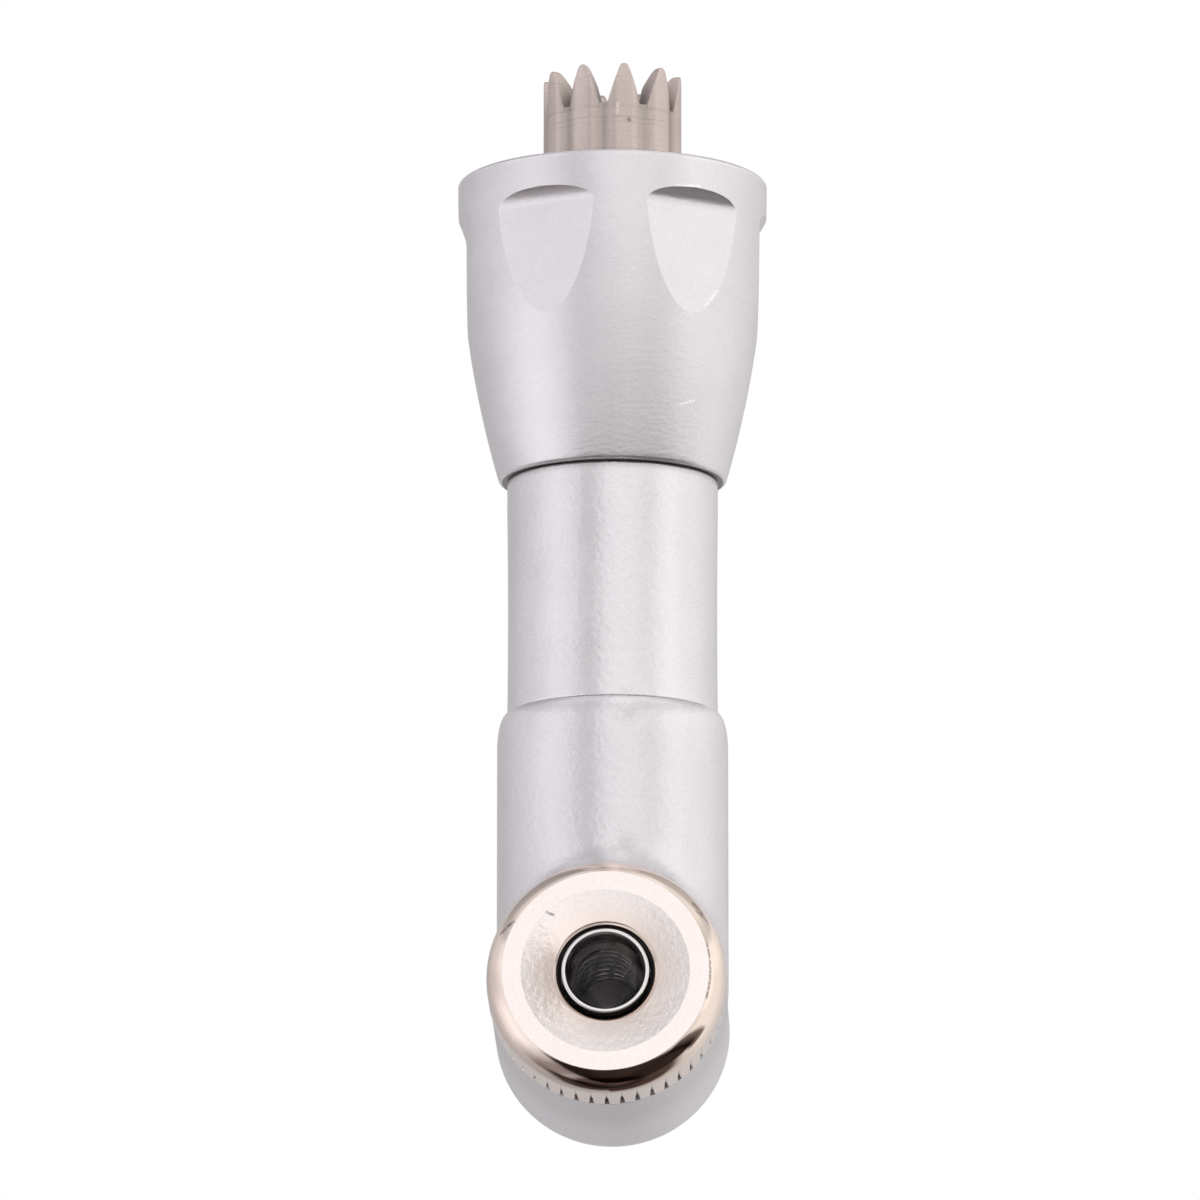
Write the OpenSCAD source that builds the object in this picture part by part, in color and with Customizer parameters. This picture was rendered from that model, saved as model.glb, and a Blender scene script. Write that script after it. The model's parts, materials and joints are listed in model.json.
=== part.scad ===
// Right-angle prophylaxis head with a captive coupling nut.
// +Z runs along the neck towards the driving unit, the spindle faces -Y.
// The origin is on the neck's axis, on the face where the driving unit's nose seats.

/* [Nut] */
// outside diameter of the nut's rim
nut_rim_d = 13.42; // [13:0.02:15]
// outside diameter at the nut's small end
nut_foot_d = 9.8; // [9.6:0.1:10.6]
// how early the nut's side curves in, higher is fuller
nut_curve = 2.12; // [1.9:0.02:2.6]
// length of the nut
nut_len = 13.2; // [12:0.1:16]
// height of the nut's small end below the seat
nut_drop = 4.0; // [3.9:0.1:4.6]
// diameter of the nut's thread crests
nut_thread_d = 10.0; // [9.9:0.05:10.2]
// depth of the nut's thread
nut_thread_depth = 0.3; // [0.2:0.05:0.35]
// pitch of the nut's thread
nut_pitch = 0.75; // [0.5:0.05:1]
// number of finger flats
flat_count = 6; // [4:1:8]
// turn of the nut at rest
nut_turn = 5; // [0:1:60]
// distance across two opposite finger flats
flat_across = 12.5; // [12.3:0.05:13]
// distance from the rim to the ledge above a finger flat
ledge_drop = 1.45; // [1:0.05:3]
// thickness of the nut's inner lip
lip_t = 1.8; // [1.4:0.1:2.2]

/* [Neck] */
// outside diameter of the neck tube
neck_d = 9.1; // [9:0.05:9.4]
// visible length of the neck tube
neck_len = 10.2; // [8:0.1:18]
// diameter of the stem that carries the nut
stem_d = 7.8; // [7.7:0.05:7.9]
// diameter of the spigot that enters the driving unit
spigot_d = 7.2; // [7.1:0.05:7.3]
// length of the spigot
spigot_len = 4.3; // [4:0.1:6]
// bore through the neck tube
neck_bore_d = 4.8; // [4.4:0.1:5]
// diameter of the neck tube's root in the head
root_d = 7.8; // [7.6:0.05:8]
// length of the neck tube's root in the head
root_len = 5.3; // [4:0.1:6]
// outside diameter of the seat collar
collar_d = 9.8; // [9.4:0.05:9.9]
// thickness of the thrust washer
washer_t = 0.3; // [0.2:0.05:0.4]
// diameter of the index pin in the seat collar
index_pin_d = 0.4; // [0.3:0.05:0.45]
// diameter of the neck's O-ring section
o_ring_d = 0.5; // [0.4:0.05:0.6]

/* [Head] */
// outside diameter of the head barrel
head_d = 10.04; // [10:0.02:10.4]
// outside diameter of the head's own neck
body_d = 9.94; // [9.7:0.02:10]
// distance from the neck tube's lower edge to the spindle's axis
head_drop = 13.8; // [13.4:0.1:18]
// angle between the neck and the spindle
head_angle = 83.2; // [78:0.1:90]
// height of the domed back
dome_h = 3.1; // [2.9:0.1:3.8]
// height above the spindle's axis where the knee starts to round off
knee_rise = 2.0; // [1:0.1:3]
// height of the rounded knee
knee_h = 5.6; // [4:0.1:6]
// radius of the fillet between neck and barrel
saddle_r = 0.7; // [0.4:0.05:0.9]
// diameter of the gear chamber
chamber_d = 6.4; // [6.3:0.05:6.6]
// diameter of the pinion chamber
pinion_chamber_d = 5.2; // [5:0.05:5.6]
// height of the pinion chamber's floor above the spindle's axis
pinion_floor = 1.95; // [1.8:0.05:2.1]
// thickness of the domed back behind the rear bush
dome_wall = 0.7; // [0.6:0.05:0.9]

/* [Cap] */
// outside diameter of the cap
cap_d = 10.12; // [10.1:0.02:10.6]
// length of the cap
cap_len = 2.85; // [2.7:0.05:3.4]
// distance from the neck's axis to the cap's face
face_reach = 9.1; // [9:0.05:9.6]
// radius of the cap's polished edge
cap_edge_r = 0.67; // [0.4:0.01:0.8]
// diameter of the thread that holds the cap
cap_thread_d = 8.8; // [8.4:0.05:9]
// number of grip notches
notch_count = 48; // [24:2:60]
// depth of a grip notch
notch_depth = 0.2; // [0.1:0.01:0.26]
// inside diameter of the flat ring on the face
dish_d = 7.14; // [6:0.02:8]
// depth of the dish in the face
dish_depth = 0.16; // [0.05:0.01:0.3]
// hole for the spindle's nose
cap_bore_d = 4.16; // [4.1:0.02:4.4]
// depth of the thread inside the cap
cap_thread_len = 1.75; // [1.5:0.05:1.9]
// outside diameter of the spindle seal
seal_d = 6.0; // [5.8:0.05:6.2]
// thickness of the spindle seal
seal_t = 0.45; // [0.35:0.05:0.5]

/* [Spindle] */
// outside diameter of the spindle's nose
nose_d = 3.7; // [3.6:0.05:3.8]
// smooth lead-in at the spindle's mouth
mouth_d = 3.2; // [3.1:0.05:3.3]
// depth of the smooth lead-in
mouth_depth = 0.9; // [0.5:0.1:1.5]
// crest diameter of the spindle's female thread
socket_d = 2.6; // [2.5:0.05:2.7]
// length of the female thread
socket_len = 4.4; // [3.5:0.1:4.6]
// diameter of the spindle's bearing journal
journal_d = 4.0; // [3.8:0.1:4.2]
// diameter of the spindle's tail under its gear
tail_d = 2.2; // [2:0.05:2.4]
// diameter of the spindle's rear pivot
pivot_d = 1.6; // [1.4:0.05:1.8]
// radial clearance of the rear pivot
pivot_gap = 0.03; // [0.02:0.01:0.05]
// outside diameter of the rear bush
bush_d = 3.0; // [2.6:0.1:3.2]
// front end of the rear bush, behind the neck's axis
bush_front = 0.9; // [0.8:0.05:1.1]
// distance between the two spindle bearings
bearing_gap = 0.6; // [0.4:0.05:0.7]
// wall of the spacers between the spindle bearings
spacer_t = 0.45; // [0.3:0.05:0.6]

/* [Gears] */
// teeth of the drive pinion
pinion_teeth = 12; // [12:4:16]
// teeth of the spindle gear
gear_teeth = 16; // [16:4:20]
// pitch diameter of the spindle gear at its large end
gear_pitch_d = 5.7; // [5.5:0.05:5.8]
// face width of the bevel teeth
face_w = 1.0; // [0.8:0.05:1.1]
// hub diameter of the drive pinion
pinion_hub_d = 4.0; // [3.8:0.05:4]
// hub diameter of the spindle gear
gear_hub_d = 4.9; // [4.6:0.05:5]
// outside diameter of the crown gear
crown_d = 6.0; // [5.8:0.05:6.1]
// inside diameter of the crown gear's rim
crown_bore_d = 4.2; // [4:0.05:4.4]
// number of crown teeth
crown_teeth = 10; // [8:2:12]
// height of the crown teeth
crown_tooth_h = 1.73; // [1.4:0.01:2]
// turn of the crown gear at rest
crown_turn = -78; // [-90:1:-54]
// height the crown gear stands above the nut
crown_reach = 4.8; // [3.5:0.1:6]
// diameter of the crown gear's boss inside the spigot
boss_d = 3.9; // [3.6:0.05:4]

/* [Shaft] */
// diameter of the drive shaft
shaft_d = 3.0; // [2.8:0.1:3.2]
// outside diameter of the lower shaft bearing
low_bearing_d = 7.0; // [6.8:0.1:7.1]
// outside diameter of the upper shaft bearing
top_bearing_d = 6.0; // [5.8:0.1:6.2]
// outside diameter of the spindle bearings
spindle_bearing_d = 7.0; // [6.8:0.1:7.2]
// width of every ball bearing
bearing_w = 2.0; // [1.8:0.1:2.1]
// distance from the spindle's axis to the lower shaft bearing
low_bearing_up = 5.6; // [5.4:0.1:6.4]
// diameter of the cross pin
cross_pin_d = 1.0; // [0.8:0.05:1.1]
// diameter of the shaft's end inside the pinion
stub_d = 1.8; // [1.6:0.05:1.9]
// height of the shaft's shoulder above the spindle's axis
shoulder_up = 3.8; // [3.6:0.05:4]
// outside diameter of the shaft sleeve
sleeve_d = 3.9; // [3.7:0.05:4.2]

/* [Hidden] */
$fn = 96;
run_gap = 0.05;
nut_bottom = -nut_drop;
nut_top = nut_bottom + nut_len;
lip_top = nut_bottom + lip_t;
washer_z = lip_top + 0.1;
collar_z = washer_z + washer_t;
neck_top = nut_bottom - 0.1;
joint_z = neck_top - neck_len;
axis_z = joint_z - head_drop;
root_bottom = joint_z - root_len;
low_bearing_z = axis_z + low_bearing_up;
low_bearing_top = low_bearing_z + bearing_w;
top_bearing_z = spigot_len - 0.7 - bearing_w;
top_bearing_top = top_bearing_z + bearing_w;
clip_t = 0.3;
crown_z = spigot_len + 0.2;
crown_top = nut_top + crown_reach;
cross_pin_z = crown_z + 2.0;
shaft_top = crown_z + 4.6;
crown_floor = shaft_top - 0.3;
ledge_out = nut_top - ledge_drop;
ledge_in = ledge_out - 0.8;
barb_r = collar_d / 2 - 0.25;
pin_at = barb_r - 0.08 - index_pin_d / 2;
cap_back = face_reach - cap_len;
thread_front = cap_back + cap_thread_len;
bush_w0 = dome_wall - dome_h;
front_bearing_w0 = thread_front - 0.4 - bearing_w;
rear_bearing_w0 = front_bearing_w0 - bearing_gap - bearing_w;

// bevel pair: both pitch cones meet where the two axes cross
cone_a = atan(sin(head_angle) / (gear_teeth / pinion_teeth + cos(head_angle)));
cone_b = head_angle - cone_a;
cone_len = gear_pitch_d / 2 / sin(cone_b);
tooth_add = 0.27;
tooth_ded = 0.35;
tooth_pitch = PI * gear_pitch_d / gear_teeth;
tooth_backlash = 0.10;

// moves a piece from the spindle's own axis to its place in the head
module on_head() {
    translate([0, 0, axis_z]) rotate([head_angle, 0, 0]) children();
}

// ring or disc with small chamfers at the outer edges
module ring(ro, ri, h, c = 0.1) {
    rotate_extrude() polygon([[ri, 0], [ro - c, 0], [ro, c], [ro, h - c], [ro - c, h], [ri, h]]);
}

// plain tube wall standing on z0
module tube(ro, ri, z0, z1) {
    rotate_extrude() polygon([[ri, z0], [ro, z0], [ro, z1], [ri, z1]]);
}

// ---- fixed housing ----

// filled shape of the head before it is hollowed
module head_outside() {
    intersection() {
        union() {
            on_head() rotate_extrude() polygon(concat(
                [[0, cap_back], [head_d / 2 - 0.08, cap_back]],
                [[head_d / 2, cap_back - 0.08]],
                [for (a = [0:5:90]) [head_d / 2 * cos(a), -dome_h * sin(a)]]));
            // the head's own neck: rounded shoulder above, rounded knee below
            translate([0, 0, axis_z]) rotate_extrude() polygon(concat(
                [[0, head_drop]],
                [for (a = [0:15:90]) [neck_d / 2 + (body_d - neck_d) / 2 * sin(a),
                    head_drop - 1.5 * (1 - cos(a))]],
                [for (a = [0:5:90]) [body_d / 2 * cos(a), knee_rise - knee_h * sin(a)]]));
            saddle();
        }
        on_head() translate([0, 0, -30]) cylinder(r = 40, h = 30 + cap_back);
    }
}

// soft step from the neck's front to the barrel, made of rounds that touch the fillet's arc
module saddle() {
    r = body_d * 0.42;
    reach = head_d / 2 + saddle_r;
    cy = -(body_d / 2 + saddle_r);
    cw = (reach * cos(head_angle) - cy) / sin(head_angle);
    cz = cw * cos(head_angle) + reach * sin(head_angle);
    for (k = [0.25, 0.5, 0.75])
        translate([0, cy + (saddle_r + r) * cos(k * head_angle),
            axis_z + cz - (saddle_r + r) * sin(k * head_angle)])
            rotate([-k * head_angle, 0, 0]) cylinder(r = r, h = 1.8, center = true);
}

module head_housing() color([0.80, 0.79, 0.81]) difference() {
    union() {
        head_outside();
        // spigot that carries the cap's thread
        on_head() tube(cap_thread_d / 2, spindle_bearing_d / 2 - 0.3, cap_back - 0.3, thread_front - 0.05);
    }
    on_head() {
        translate([0, 0, bush_w0]) cylinder(d = bush_d, h = dome_h);
        translate([0, 0, -bush_front]) cylinder(d = chamber_d, h = 6);
        translate([0, 0, rear_bearing_w0]) cylinder(d = spindle_bearing_d, h = 10);
    }
    // bore of the neck: pinion chamber, seal seat, bearing seat, socket
    translate([0, 0, axis_z + pinion_floor]) cylinder(d = pinion_chamber_d, h = 5);
    translate([0, 0, low_bearing_z - 0.4]) cylinder(d = low_bearing_d - 1, h = 1);
    translate([0, 0, low_bearing_z]) cylinder(d = low_bearing_d, h = bearing_w + 0.5);
    translate([0, 0, low_bearing_top]) cylinder(d = root_d, h = head_drop);
}

module neck_tube() color([0.84, 0.83, 0.84]) rotate_extrude() polygon([
    [neck_bore_d / 2, root_bottom], [root_d / 2, root_bottom],
    [root_d / 2, joint_z - 1.5], [root_d / 2 - o_ring_d, joint_z - 1.5],
    [root_d / 2 - o_ring_d, joint_z - 0.9], [root_d / 2, joint_z - 0.9],
    [root_d / 2, joint_z], [neck_d / 2 - 0.04, joint_z], [neck_d / 2, joint_z + 0.04],
    [neck_d / 2, neck_top - 0.12], [neck_d / 2 - 0.12, neck_top], [stem_d / 2, neck_top],
    [stem_d / 2, 0], [spigot_d / 2, 0], [spigot_d / 2, spigot_len - 0.2],
    [spigot_d / 2 - 0.2, spigot_len], [top_bearing_d / 2, spigot_len],
    [top_bearing_d / 2, top_bearing_top + clip_t], [top_bearing_d / 2 + 0.2, top_bearing_top + clip_t],
    [top_bearing_d / 2 + 0.2, top_bearing_top], [top_bearing_d / 2, top_bearing_top],
    [top_bearing_d / 2, top_bearing_z], [neck_bore_d / 2, top_bearing_z]]);

module front_cap() color([0.93, 0.84, 0.79]) on_head() difference() {
    r = cap_d / 2;
    rotate_extrude() polygon(concat(
        [[cap_thread_d / 2, cap_back], [r - 0.1, cap_back], [r, cap_back + 0.1]],
        [for (a = [0:10:90]) [r - cap_edge_r * (1 - cos(a)), face_reach - cap_edge_r * (1 - sin(a))]],
        [[dish_d / 2, face_reach], [dish_d / 2 - 0.05, face_reach - 0.05],
            [cap_bore_d / 2 + 0.12, face_reach - dish_depth],
            [cap_bore_d / 2, face_reach - dish_depth - 0.08],
            [cap_bore_d / 2, thread_front + seal_t], [seal_d / 2, thread_front + seal_t],
            [seal_d / 2, thread_front], [cap_thread_d / 2, thread_front]]));
    for (i = [0:notch_count - 1]) rotate([0, 0, i * 360 / notch_count])
        translate([r, 0, cap_back]) rotate([0, atan((notch_depth - 0.04) / (cap_len - cap_edge_r)), 0])
            rotate([0, 0, 45]) translate([-notch_depth / sqrt(2), -notch_depth / sqrt(2), -0.5])
                cube([notch_depth * sqrt(2), notch_depth * sqrt(2), cap_len - cap_edge_r + 0.45]);
}

module spindle_seal() color([0.12, 0.12, 0.12]) on_head()
    rotate_extrude() polygon([[nose_d / 2 + 0.04, thread_front], [seal_d / 2, thread_front],
        [seal_d / 2, thread_front + seal_t], [nose_d / 2 + 0.18, thread_front + seal_t],
        [nose_d / 2 + 0.03, thread_front + seal_t - 0.15], [nose_d / 2 + 0.18, thread_front + 0.12]]);

module preload_washer() color([0.7, 0.7, 0.72]) on_head()
    translate([0, 0, front_bearing_w0 + bearing_w]) ring(spindle_bearing_d / 2 - 0.02,
        spindle_bearing_d / 2 - 0.55, thread_front - front_bearing_w0 - bearing_w, 0.05);

module spindle_outer_spacer() color([0.7, 0.7, 0.72]) on_head()
    tube(spindle_bearing_d / 2, spindle_bearing_d / 2 - spacer_t,
        rear_bearing_w0 + bearing_w, front_bearing_w0);

module rear_bush() color([0.72, 0.53, 0.28]) on_head()
    tube(bush_d / 2, pivot_d / 2 + pivot_gap, bush_w0, -bush_front);

module low_seal_ring() color([0.12, 0.12, 0.12]) translate([0, 0, low_bearing_z - 0.4])
    ring(low_bearing_d / 2 - 0.5, 2.0 + run_gap, 0.4, 0.02);

module bearing_spacer() color([0.7, 0.7, 0.72])
    tube(root_d / 2, low_bearing_d / 2 - 0.55, low_bearing_top, root_bottom);

module neck_o_ring() color([0.12, 0.12, 0.12]) translate([0, 0, joint_z - 1.2])
    rotate_extrude() polygon([for (a = [22.5:45:360])
        [root_d / 2 + o_ring_d / 2 * (cos(a) / cos(22.5) - 1), o_ring_d / 2 * sin(a) / cos(22.5)]]);

module bearing_clip() color([0.6, 0.6, 0.62]) translate([0, 0, top_bearing_top]) difference() {
    union() {
        tube(top_bearing_d / 2 + 0.2, top_bearing_d / 2 - 0.4, 0, clip_t);
        for (s = [-1, 1]) rotate([0, 0, 90 + s * 20])
            translate([top_bearing_d / 2 - 0.5, 0, 0]) cylinder(d = 0.7, h = clip_t);
    }
    translate([-0.6, 0, -1]) cube([1.2, 5, 3]);
    for (s = [-1, 1]) rotate([0, 0, 90 + s * 20])
        translate([top_bearing_d / 2 - 0.5, 0, -1]) cylinder(d = 0.3, h = 3);
}

module seat_collar() color([0.78, 0.77, 0.78]) difference() {
    rotate_extrude() polygon([[stem_d / 2, collar_z], [barb_r, collar_z], [barb_r, -0.6],
        [collar_d / 2, -0.6], [collar_d / 2, -0.1], [collar_d / 2 - 0.1, 0], [stem_d / 2, 0]]);
    translate([0, pin_at, -1.4]) cylinder(d = index_pin_d, h = 3);
}

module index_pin() color([0.6, 0.6, 0.62]) translate([0, pin_at, -1.4]) {
    cylinder(d = index_pin_d, h = 2.0);
    translate([0, 0, 2.0]) cylinder(d1 = index_pin_d, d2 = index_pin_d / 2, h = 0.2);
}

module thrust_washer() color([0.72, 0.53, 0.28]) translate([0, 0, washer_z])
    ring(barb_r, stem_d / 2, washer_t, 0.05);

// ---- coupling nut ----

function nut_r(u) = nut_foot_d / 2 + (nut_rim_d - nut_foot_d) / 2 * (1 - pow(1 - u, nut_curve));

module coupling_nut() color([0.83, 0.82, 0.84]) difference() {
    crest = nut_thread_d / 2;
    relief = crest + nut_thread_depth + 0.05;
    rotate_extrude() polygon(concat(
        [[stem_d / 2 + run_gap, nut_bottom], [nut_r(0) - 0.2, nut_bottom],
            [nut_r(0) - 0.05, nut_bottom + 0.07]],
        [for (u = [0.018:0.02:0.96]) [nut_r(u), nut_bottom + nut_len * u]],
        [for (a = [0:15:90]) [nut_rim_d / 2 - 0.3 * (1 - cos(a)), nut_top - 0.3 * (1 - sin(a))]],
        [[relief + 0.35, nut_top], [relief, nut_top - 0.35], [relief, nut_top - 1.2],
            [crest, nut_top - 1.6], [crest, -0.8], [barb_r + 0.1, -0.8],
            [barb_r + 0.1, lip_top], [stem_d / 2 + run_gap, lip_top]]));
    // thread, drawn as rings of the thread's own pitch
    for (z = [1.2:nut_pitch:nut_top - 2]) rotate_extrude() polygon([
        [crest - 0.2, z - 0.28], [crest + nut_thread_depth, z - 0.05],
        [crest + nut_thread_depth, z + 0.05], [crest - 0.2, z + 0.28]]);
    for (i = [0:flat_count - 1]) rotate([0, 0, nut_turn + i * 360 / flat_count]) rotate([90, 0, 0])
        linear_extrude(height = 10, center = true) polygon([
            [flat_across / 2, nut_bottom + 2], [flat_across / 2 + 5, nut_bottom + 2],
            [flat_across / 2 + 5, ledge_in + 0.8 * 5 / (nut_rim_d - flat_across) * 2],
            [flat_across / 2, ledge_in]]);
}

// ---- bevel teeth ----

// one set of tooth gaps whose flanks all run to the point where the axes cross
module tooth_gaps(n, cone, first) {
    big = (cone_len + 0.6) / cone_len;
    function half(x) = (tooth_pitch / 4 + tooth_backlash / 4 + x * tan(20)) * big;
    for (i = [0:n - 1]) rotate([0, 0, first + i * 360 / n]) rotate([0, cone, 0])
        translate([0, 0, cone_len * big]) mirror([0, 0, 1])
            linear_extrude(height = cone_len * (big - 0.3), scale = 0.3 / big)
                polygon([[-tooth_ded * big, -half(-tooth_ded)], [0.8, -half(0.8 / big)],
                    [0.8, half(0.8 / big)], [-tooth_ded * big, half(-tooth_ded)]]);
}

// outline of a bevel blank from its bore, with a hub that ends at hub_z
function bevel_blank(cone, bore, hub_r, hub_z) =
    let (f = (cone_len - face_w) / cone_len, s = sin(cone), c = cos(cone),
        ro = cone_len * s, zo = cone_len * c)
    [[bore, (zo + tooth_ded * s) * f], [ro * f - tooth_ded * f * c, zo * f + tooth_ded * f * s],
        [ro * f + tooth_add * f * c, zo * f - tooth_add * f * s],
        [ro + tooth_add * c, zo - tooth_add * s], [ro - tooth_ded * c, zo + tooth_ded * s],
        [hub_r, zo + tooth_ded * s], [hub_r, hub_z], [bore, hub_z]];

// ---- drive train on the neck's axis ----

module drive_shaft() color([0.62, 0.62, 0.64]) difference() {
    rotate_extrude() polygon([[0, axis_z + 2.45], [stub_d / 2, axis_z + 2.45],
        [stub_d / 2, axis_z + shoulder_up], [shaft_d / 2, axis_z + shoulder_up],
        [shaft_d / 2, shaft_top - 0.3], [shaft_d / 2 - 0.3, shaft_top], [0, shaft_top]]);
    at_pin() cylinder(d = cross_pin_d, h = 10, center = true);
}

module drive_pinion() color([0.62, 0.62, 0.64]) translate([0, 0, axis_z]) difference() {
    rotate_extrude() polygon(bevel_blank(cone_a, stub_d / 2, pinion_hub_d / 2, low_bearing_up));
    translate([0, 0, shoulder_up]) cylinder(d = shaft_d, h = 5);
    tooth_gaps(pinion_teeth, cone_a, -90 + 180 / pinion_teeth);
}

module shaft_sleeve() color([0.7, 0.7, 0.72])
    tube(sleeve_d / 2, shaft_d / 2, low_bearing_top, top_bearing_z);

module crown_gear() color([0.75, 0.68, 0.64]) difference() {
    r = crown_d / 2;
    rotate_extrude() polygon([[shaft_d / 2, top_bearing_top], [boss_d / 2, top_bearing_top],
        [boss_d / 2, crown_z],
        [r - 0.15, crown_z], [r, crown_z + 0.15], [r, crown_top],
        [crown_bore_d / 2, crown_top], [crown_bore_d / 2, crown_floor], [shaft_d / 2, crown_floor]]);
    at_pin() cylinder(d = cross_pin_d, h = 10, center = true);
    for (i = [0:crown_teeth - 1]) rotate([0, 0, crown_turn + (i + 0.5) * 360 / crown_teeth]) {
        // flute that runs down between two teeth
        translate([r + 0.38, 0, crown_z + 1]) cylinder(r = 0.5, h = 20);
        // gap between two pointed teeth, narrowing towards the axis
        translate([0, 0, crown_top - crown_tooth_h + 0.015]) crown_cut(crown_gap(), r);
    }
}

// outline of the gap between two teeth: half the pitch less the tooth, whose tip is an arc
function crown_gap() =
    let (half = PI * crown_d / 2 / crown_teeth, tip = 0.21, foot = half - 0.19,
        side = concat([for (a = [0:14:70]) [tip * sin(a), crown_tooth_h - tip * (1 - cos(a))]],
            [[foot * 0.56, crown_tooth_h * 0.5], [foot, 0]]))
    concat([[-half, crown_tooth_h + 1]], [for (p = side) [p[0] - half, p[1]]],
        [for (i = [len(side) - 1:-1:0]) [half - side[i][0], side[i][1]]], [[half, crown_tooth_h + 1]]);

// wedge with the outline g at radius r, running from outside the rim in to the axis
module crown_cut(g, r) {
    n = len(g);
    polyhedron(
        points = [for (k = [1.15, 0.15]) for (p = g) [r * k, p[0] * k, p[1]]],
        faces = concat([[for (i = [n - 1:-1:0]) i]], [[for (i = [n:2 * n - 1]) i]],
            [for (i = [0:n - 1]) [i, (i + 1) % n, n + (i + 1) % n]],
            [for (i = [0:n - 1]) [i, n + (i + 1) % n, n + i]]));
}

// a line across the shaft, under the middle of one tooth
module at_pin() {
    translate([0, 0, cross_pin_z]) rotate([0, 90, crown_turn + 2 * 360 / crown_teeth]) children();
}

module cross_pin() color([0.6, 0.6, 0.62]) at_pin()
    cylinder(d = cross_pin_d, h = crown_d - 0.1, center = true);

// ---- spindle ----

module spindle() color([0.70, 0.69, 0.69]) on_head() rotate_extrude() polygon([
    [0, bush_w0 + 0.1], [pivot_d / 2 - 0.1, bush_w0 + 0.1], [pivot_d / 2, bush_w0 + 0.2],
    [pivot_d / 2, 1.2], [tail_d / 2, 1.2], [tail_d / 2, rear_bearing_w0],
    [journal_d / 2, rear_bearing_w0], [journal_d / 2, front_bearing_w0 + bearing_w],
    [nose_d / 2, front_bearing_w0 + bearing_w], [nose_d / 2, face_reach - 0.05],
    [nose_d / 2 - 0.05, face_reach], [mouth_d / 2 + 0.04, face_reach], [mouth_d / 2, face_reach - 0.04],
    [mouth_d / 2, face_reach - mouth_depth], [socket_d / 2, face_reach - mouth_depth - 0.3],
    [socket_d / 2, face_reach - mouth_depth - 0.3 - socket_len],
    [0, face_reach - mouth_depth - 0.3 - socket_len - socket_d / 2 / tan(59)]]);

module spindle_gear() color([0.62, 0.62, 0.64]) on_head() difference() {
    rotate_extrude() polygon(bevel_blank(cone_b, tail_d / 2, gear_hub_d / 2, rear_bearing_w0));
    tooth_gaps(gear_teeth, cone_b, 90);
}

module spindle_inner_spacer() color([0.7, 0.7, 0.72]) on_head()
    tube(journal_d / 2 + spacer_t, journal_d / 2, rear_bearing_w0 + bearing_w, front_bearing_w0);

// ---- ball bearings ----

function ball_r(ro, ri) = (ro - ri) / 4;
function pitch_r(ro, ri) = (ro + ri) / 2;

module outer_race(ro, ri) difference() {
    ring(ro, pitch_r(ro, ri) + 0.7 * ball_r(ro, ri), bearing_w, 0.08);
    translate([0, 0, bearing_w / 2]) rotate_extrude() translate([pitch_r(ro, ri), 0])
        circle(r = ball_r(ro, ri) + 0.02);
}

module inner_race(ro, ri) difference() {
    tube(pitch_r(ro, ri) - 0.7 * ball_r(ro, ri), ri, 0, bearing_w);
    translate([0, 0, bearing_w / 2]) rotate_extrude() translate([pitch_r(ro, ri), 0])
        circle(r = ball_r(ro, ri) + 0.02);
}

module cage(ro, ri, n) difference() {
    p = pitch_r(ro, ri);
    translate([0, 0, 0.3]) tube(p + 0.12, p - 0.12, 0, bearing_w - 0.6);
    for (i = [0:n - 1]) rotate([0, 0, i * 360 / n]) translate([0, 0, bearing_w / 2])
        rotate([0, 90, 0]) cylinder(r = ball_r(ro, ri) + 0.03, h = ro);
}

module balls(ro, ri, n) for (i = [0:n - 1]) rotate([0, 0, i * 360 / n])
    translate([pitch_r(ro, ri), 0, bearing_w / 2]) sphere(r = ball_r(ro, ri));

steel = [0.72, 0.73, 0.75];
cage_tone = [0.72, 0.53, 0.28];
s_ro = spindle_bearing_d / 2;
s_ri = journal_d / 2;
b_ri = shaft_d / 2;

module at_front() { on_head() translate([0, 0, front_bearing_w0]) children(); }
module at_rear() { on_head() translate([0, 0, rear_bearing_w0]) children(); }
module at_low() { translate([0, 0, low_bearing_z]) children(); }
module at_top() { translate([0, 0, top_bearing_z]) children(); }

module spindle_front_outer_race() color(steel) at_front() outer_race(s_ro, s_ri);
module spindle_front_inner_race() color(steel) at_front() inner_race(s_ro, s_ri);
module spindle_front_cage() color(cage_tone) at_front() cage(s_ro, s_ri, 9);
module spindle_front_balls() color(steel) at_front() balls(s_ro, s_ri, 9);
module spindle_rear_outer_race() color(steel) at_rear() outer_race(s_ro, s_ri);
module spindle_rear_inner_race() color(steel) at_rear() inner_race(s_ro, s_ri);
module spindle_rear_cage() color(cage_tone) at_rear() cage(s_ro, s_ri, 9);
module spindle_rear_balls() color(steel) at_rear() balls(s_ro, s_ri, 9);
module low_outer_race() color(steel) at_low() outer_race(low_bearing_d / 2, b_ri);
module low_inner_race() color(steel) at_low() inner_race(low_bearing_d / 2, b_ri);
module low_cage() color(cage_tone) at_low() cage(low_bearing_d / 2, b_ri, 7);
module low_balls() color(steel) at_low() balls(low_bearing_d / 2, b_ri, 7);
module top_outer_race() color(steel) at_top() outer_race(top_bearing_d / 2, b_ri);
module top_inner_race() color(steel) at_top() inner_race(top_bearing_d / 2, b_ri);
module top_cage() color(cage_tone) at_top() cage(top_bearing_d / 2, b_ri, 8);
module top_balls() color(steel) at_top() balls(top_bearing_d / 2, b_ri, 8);

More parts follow.
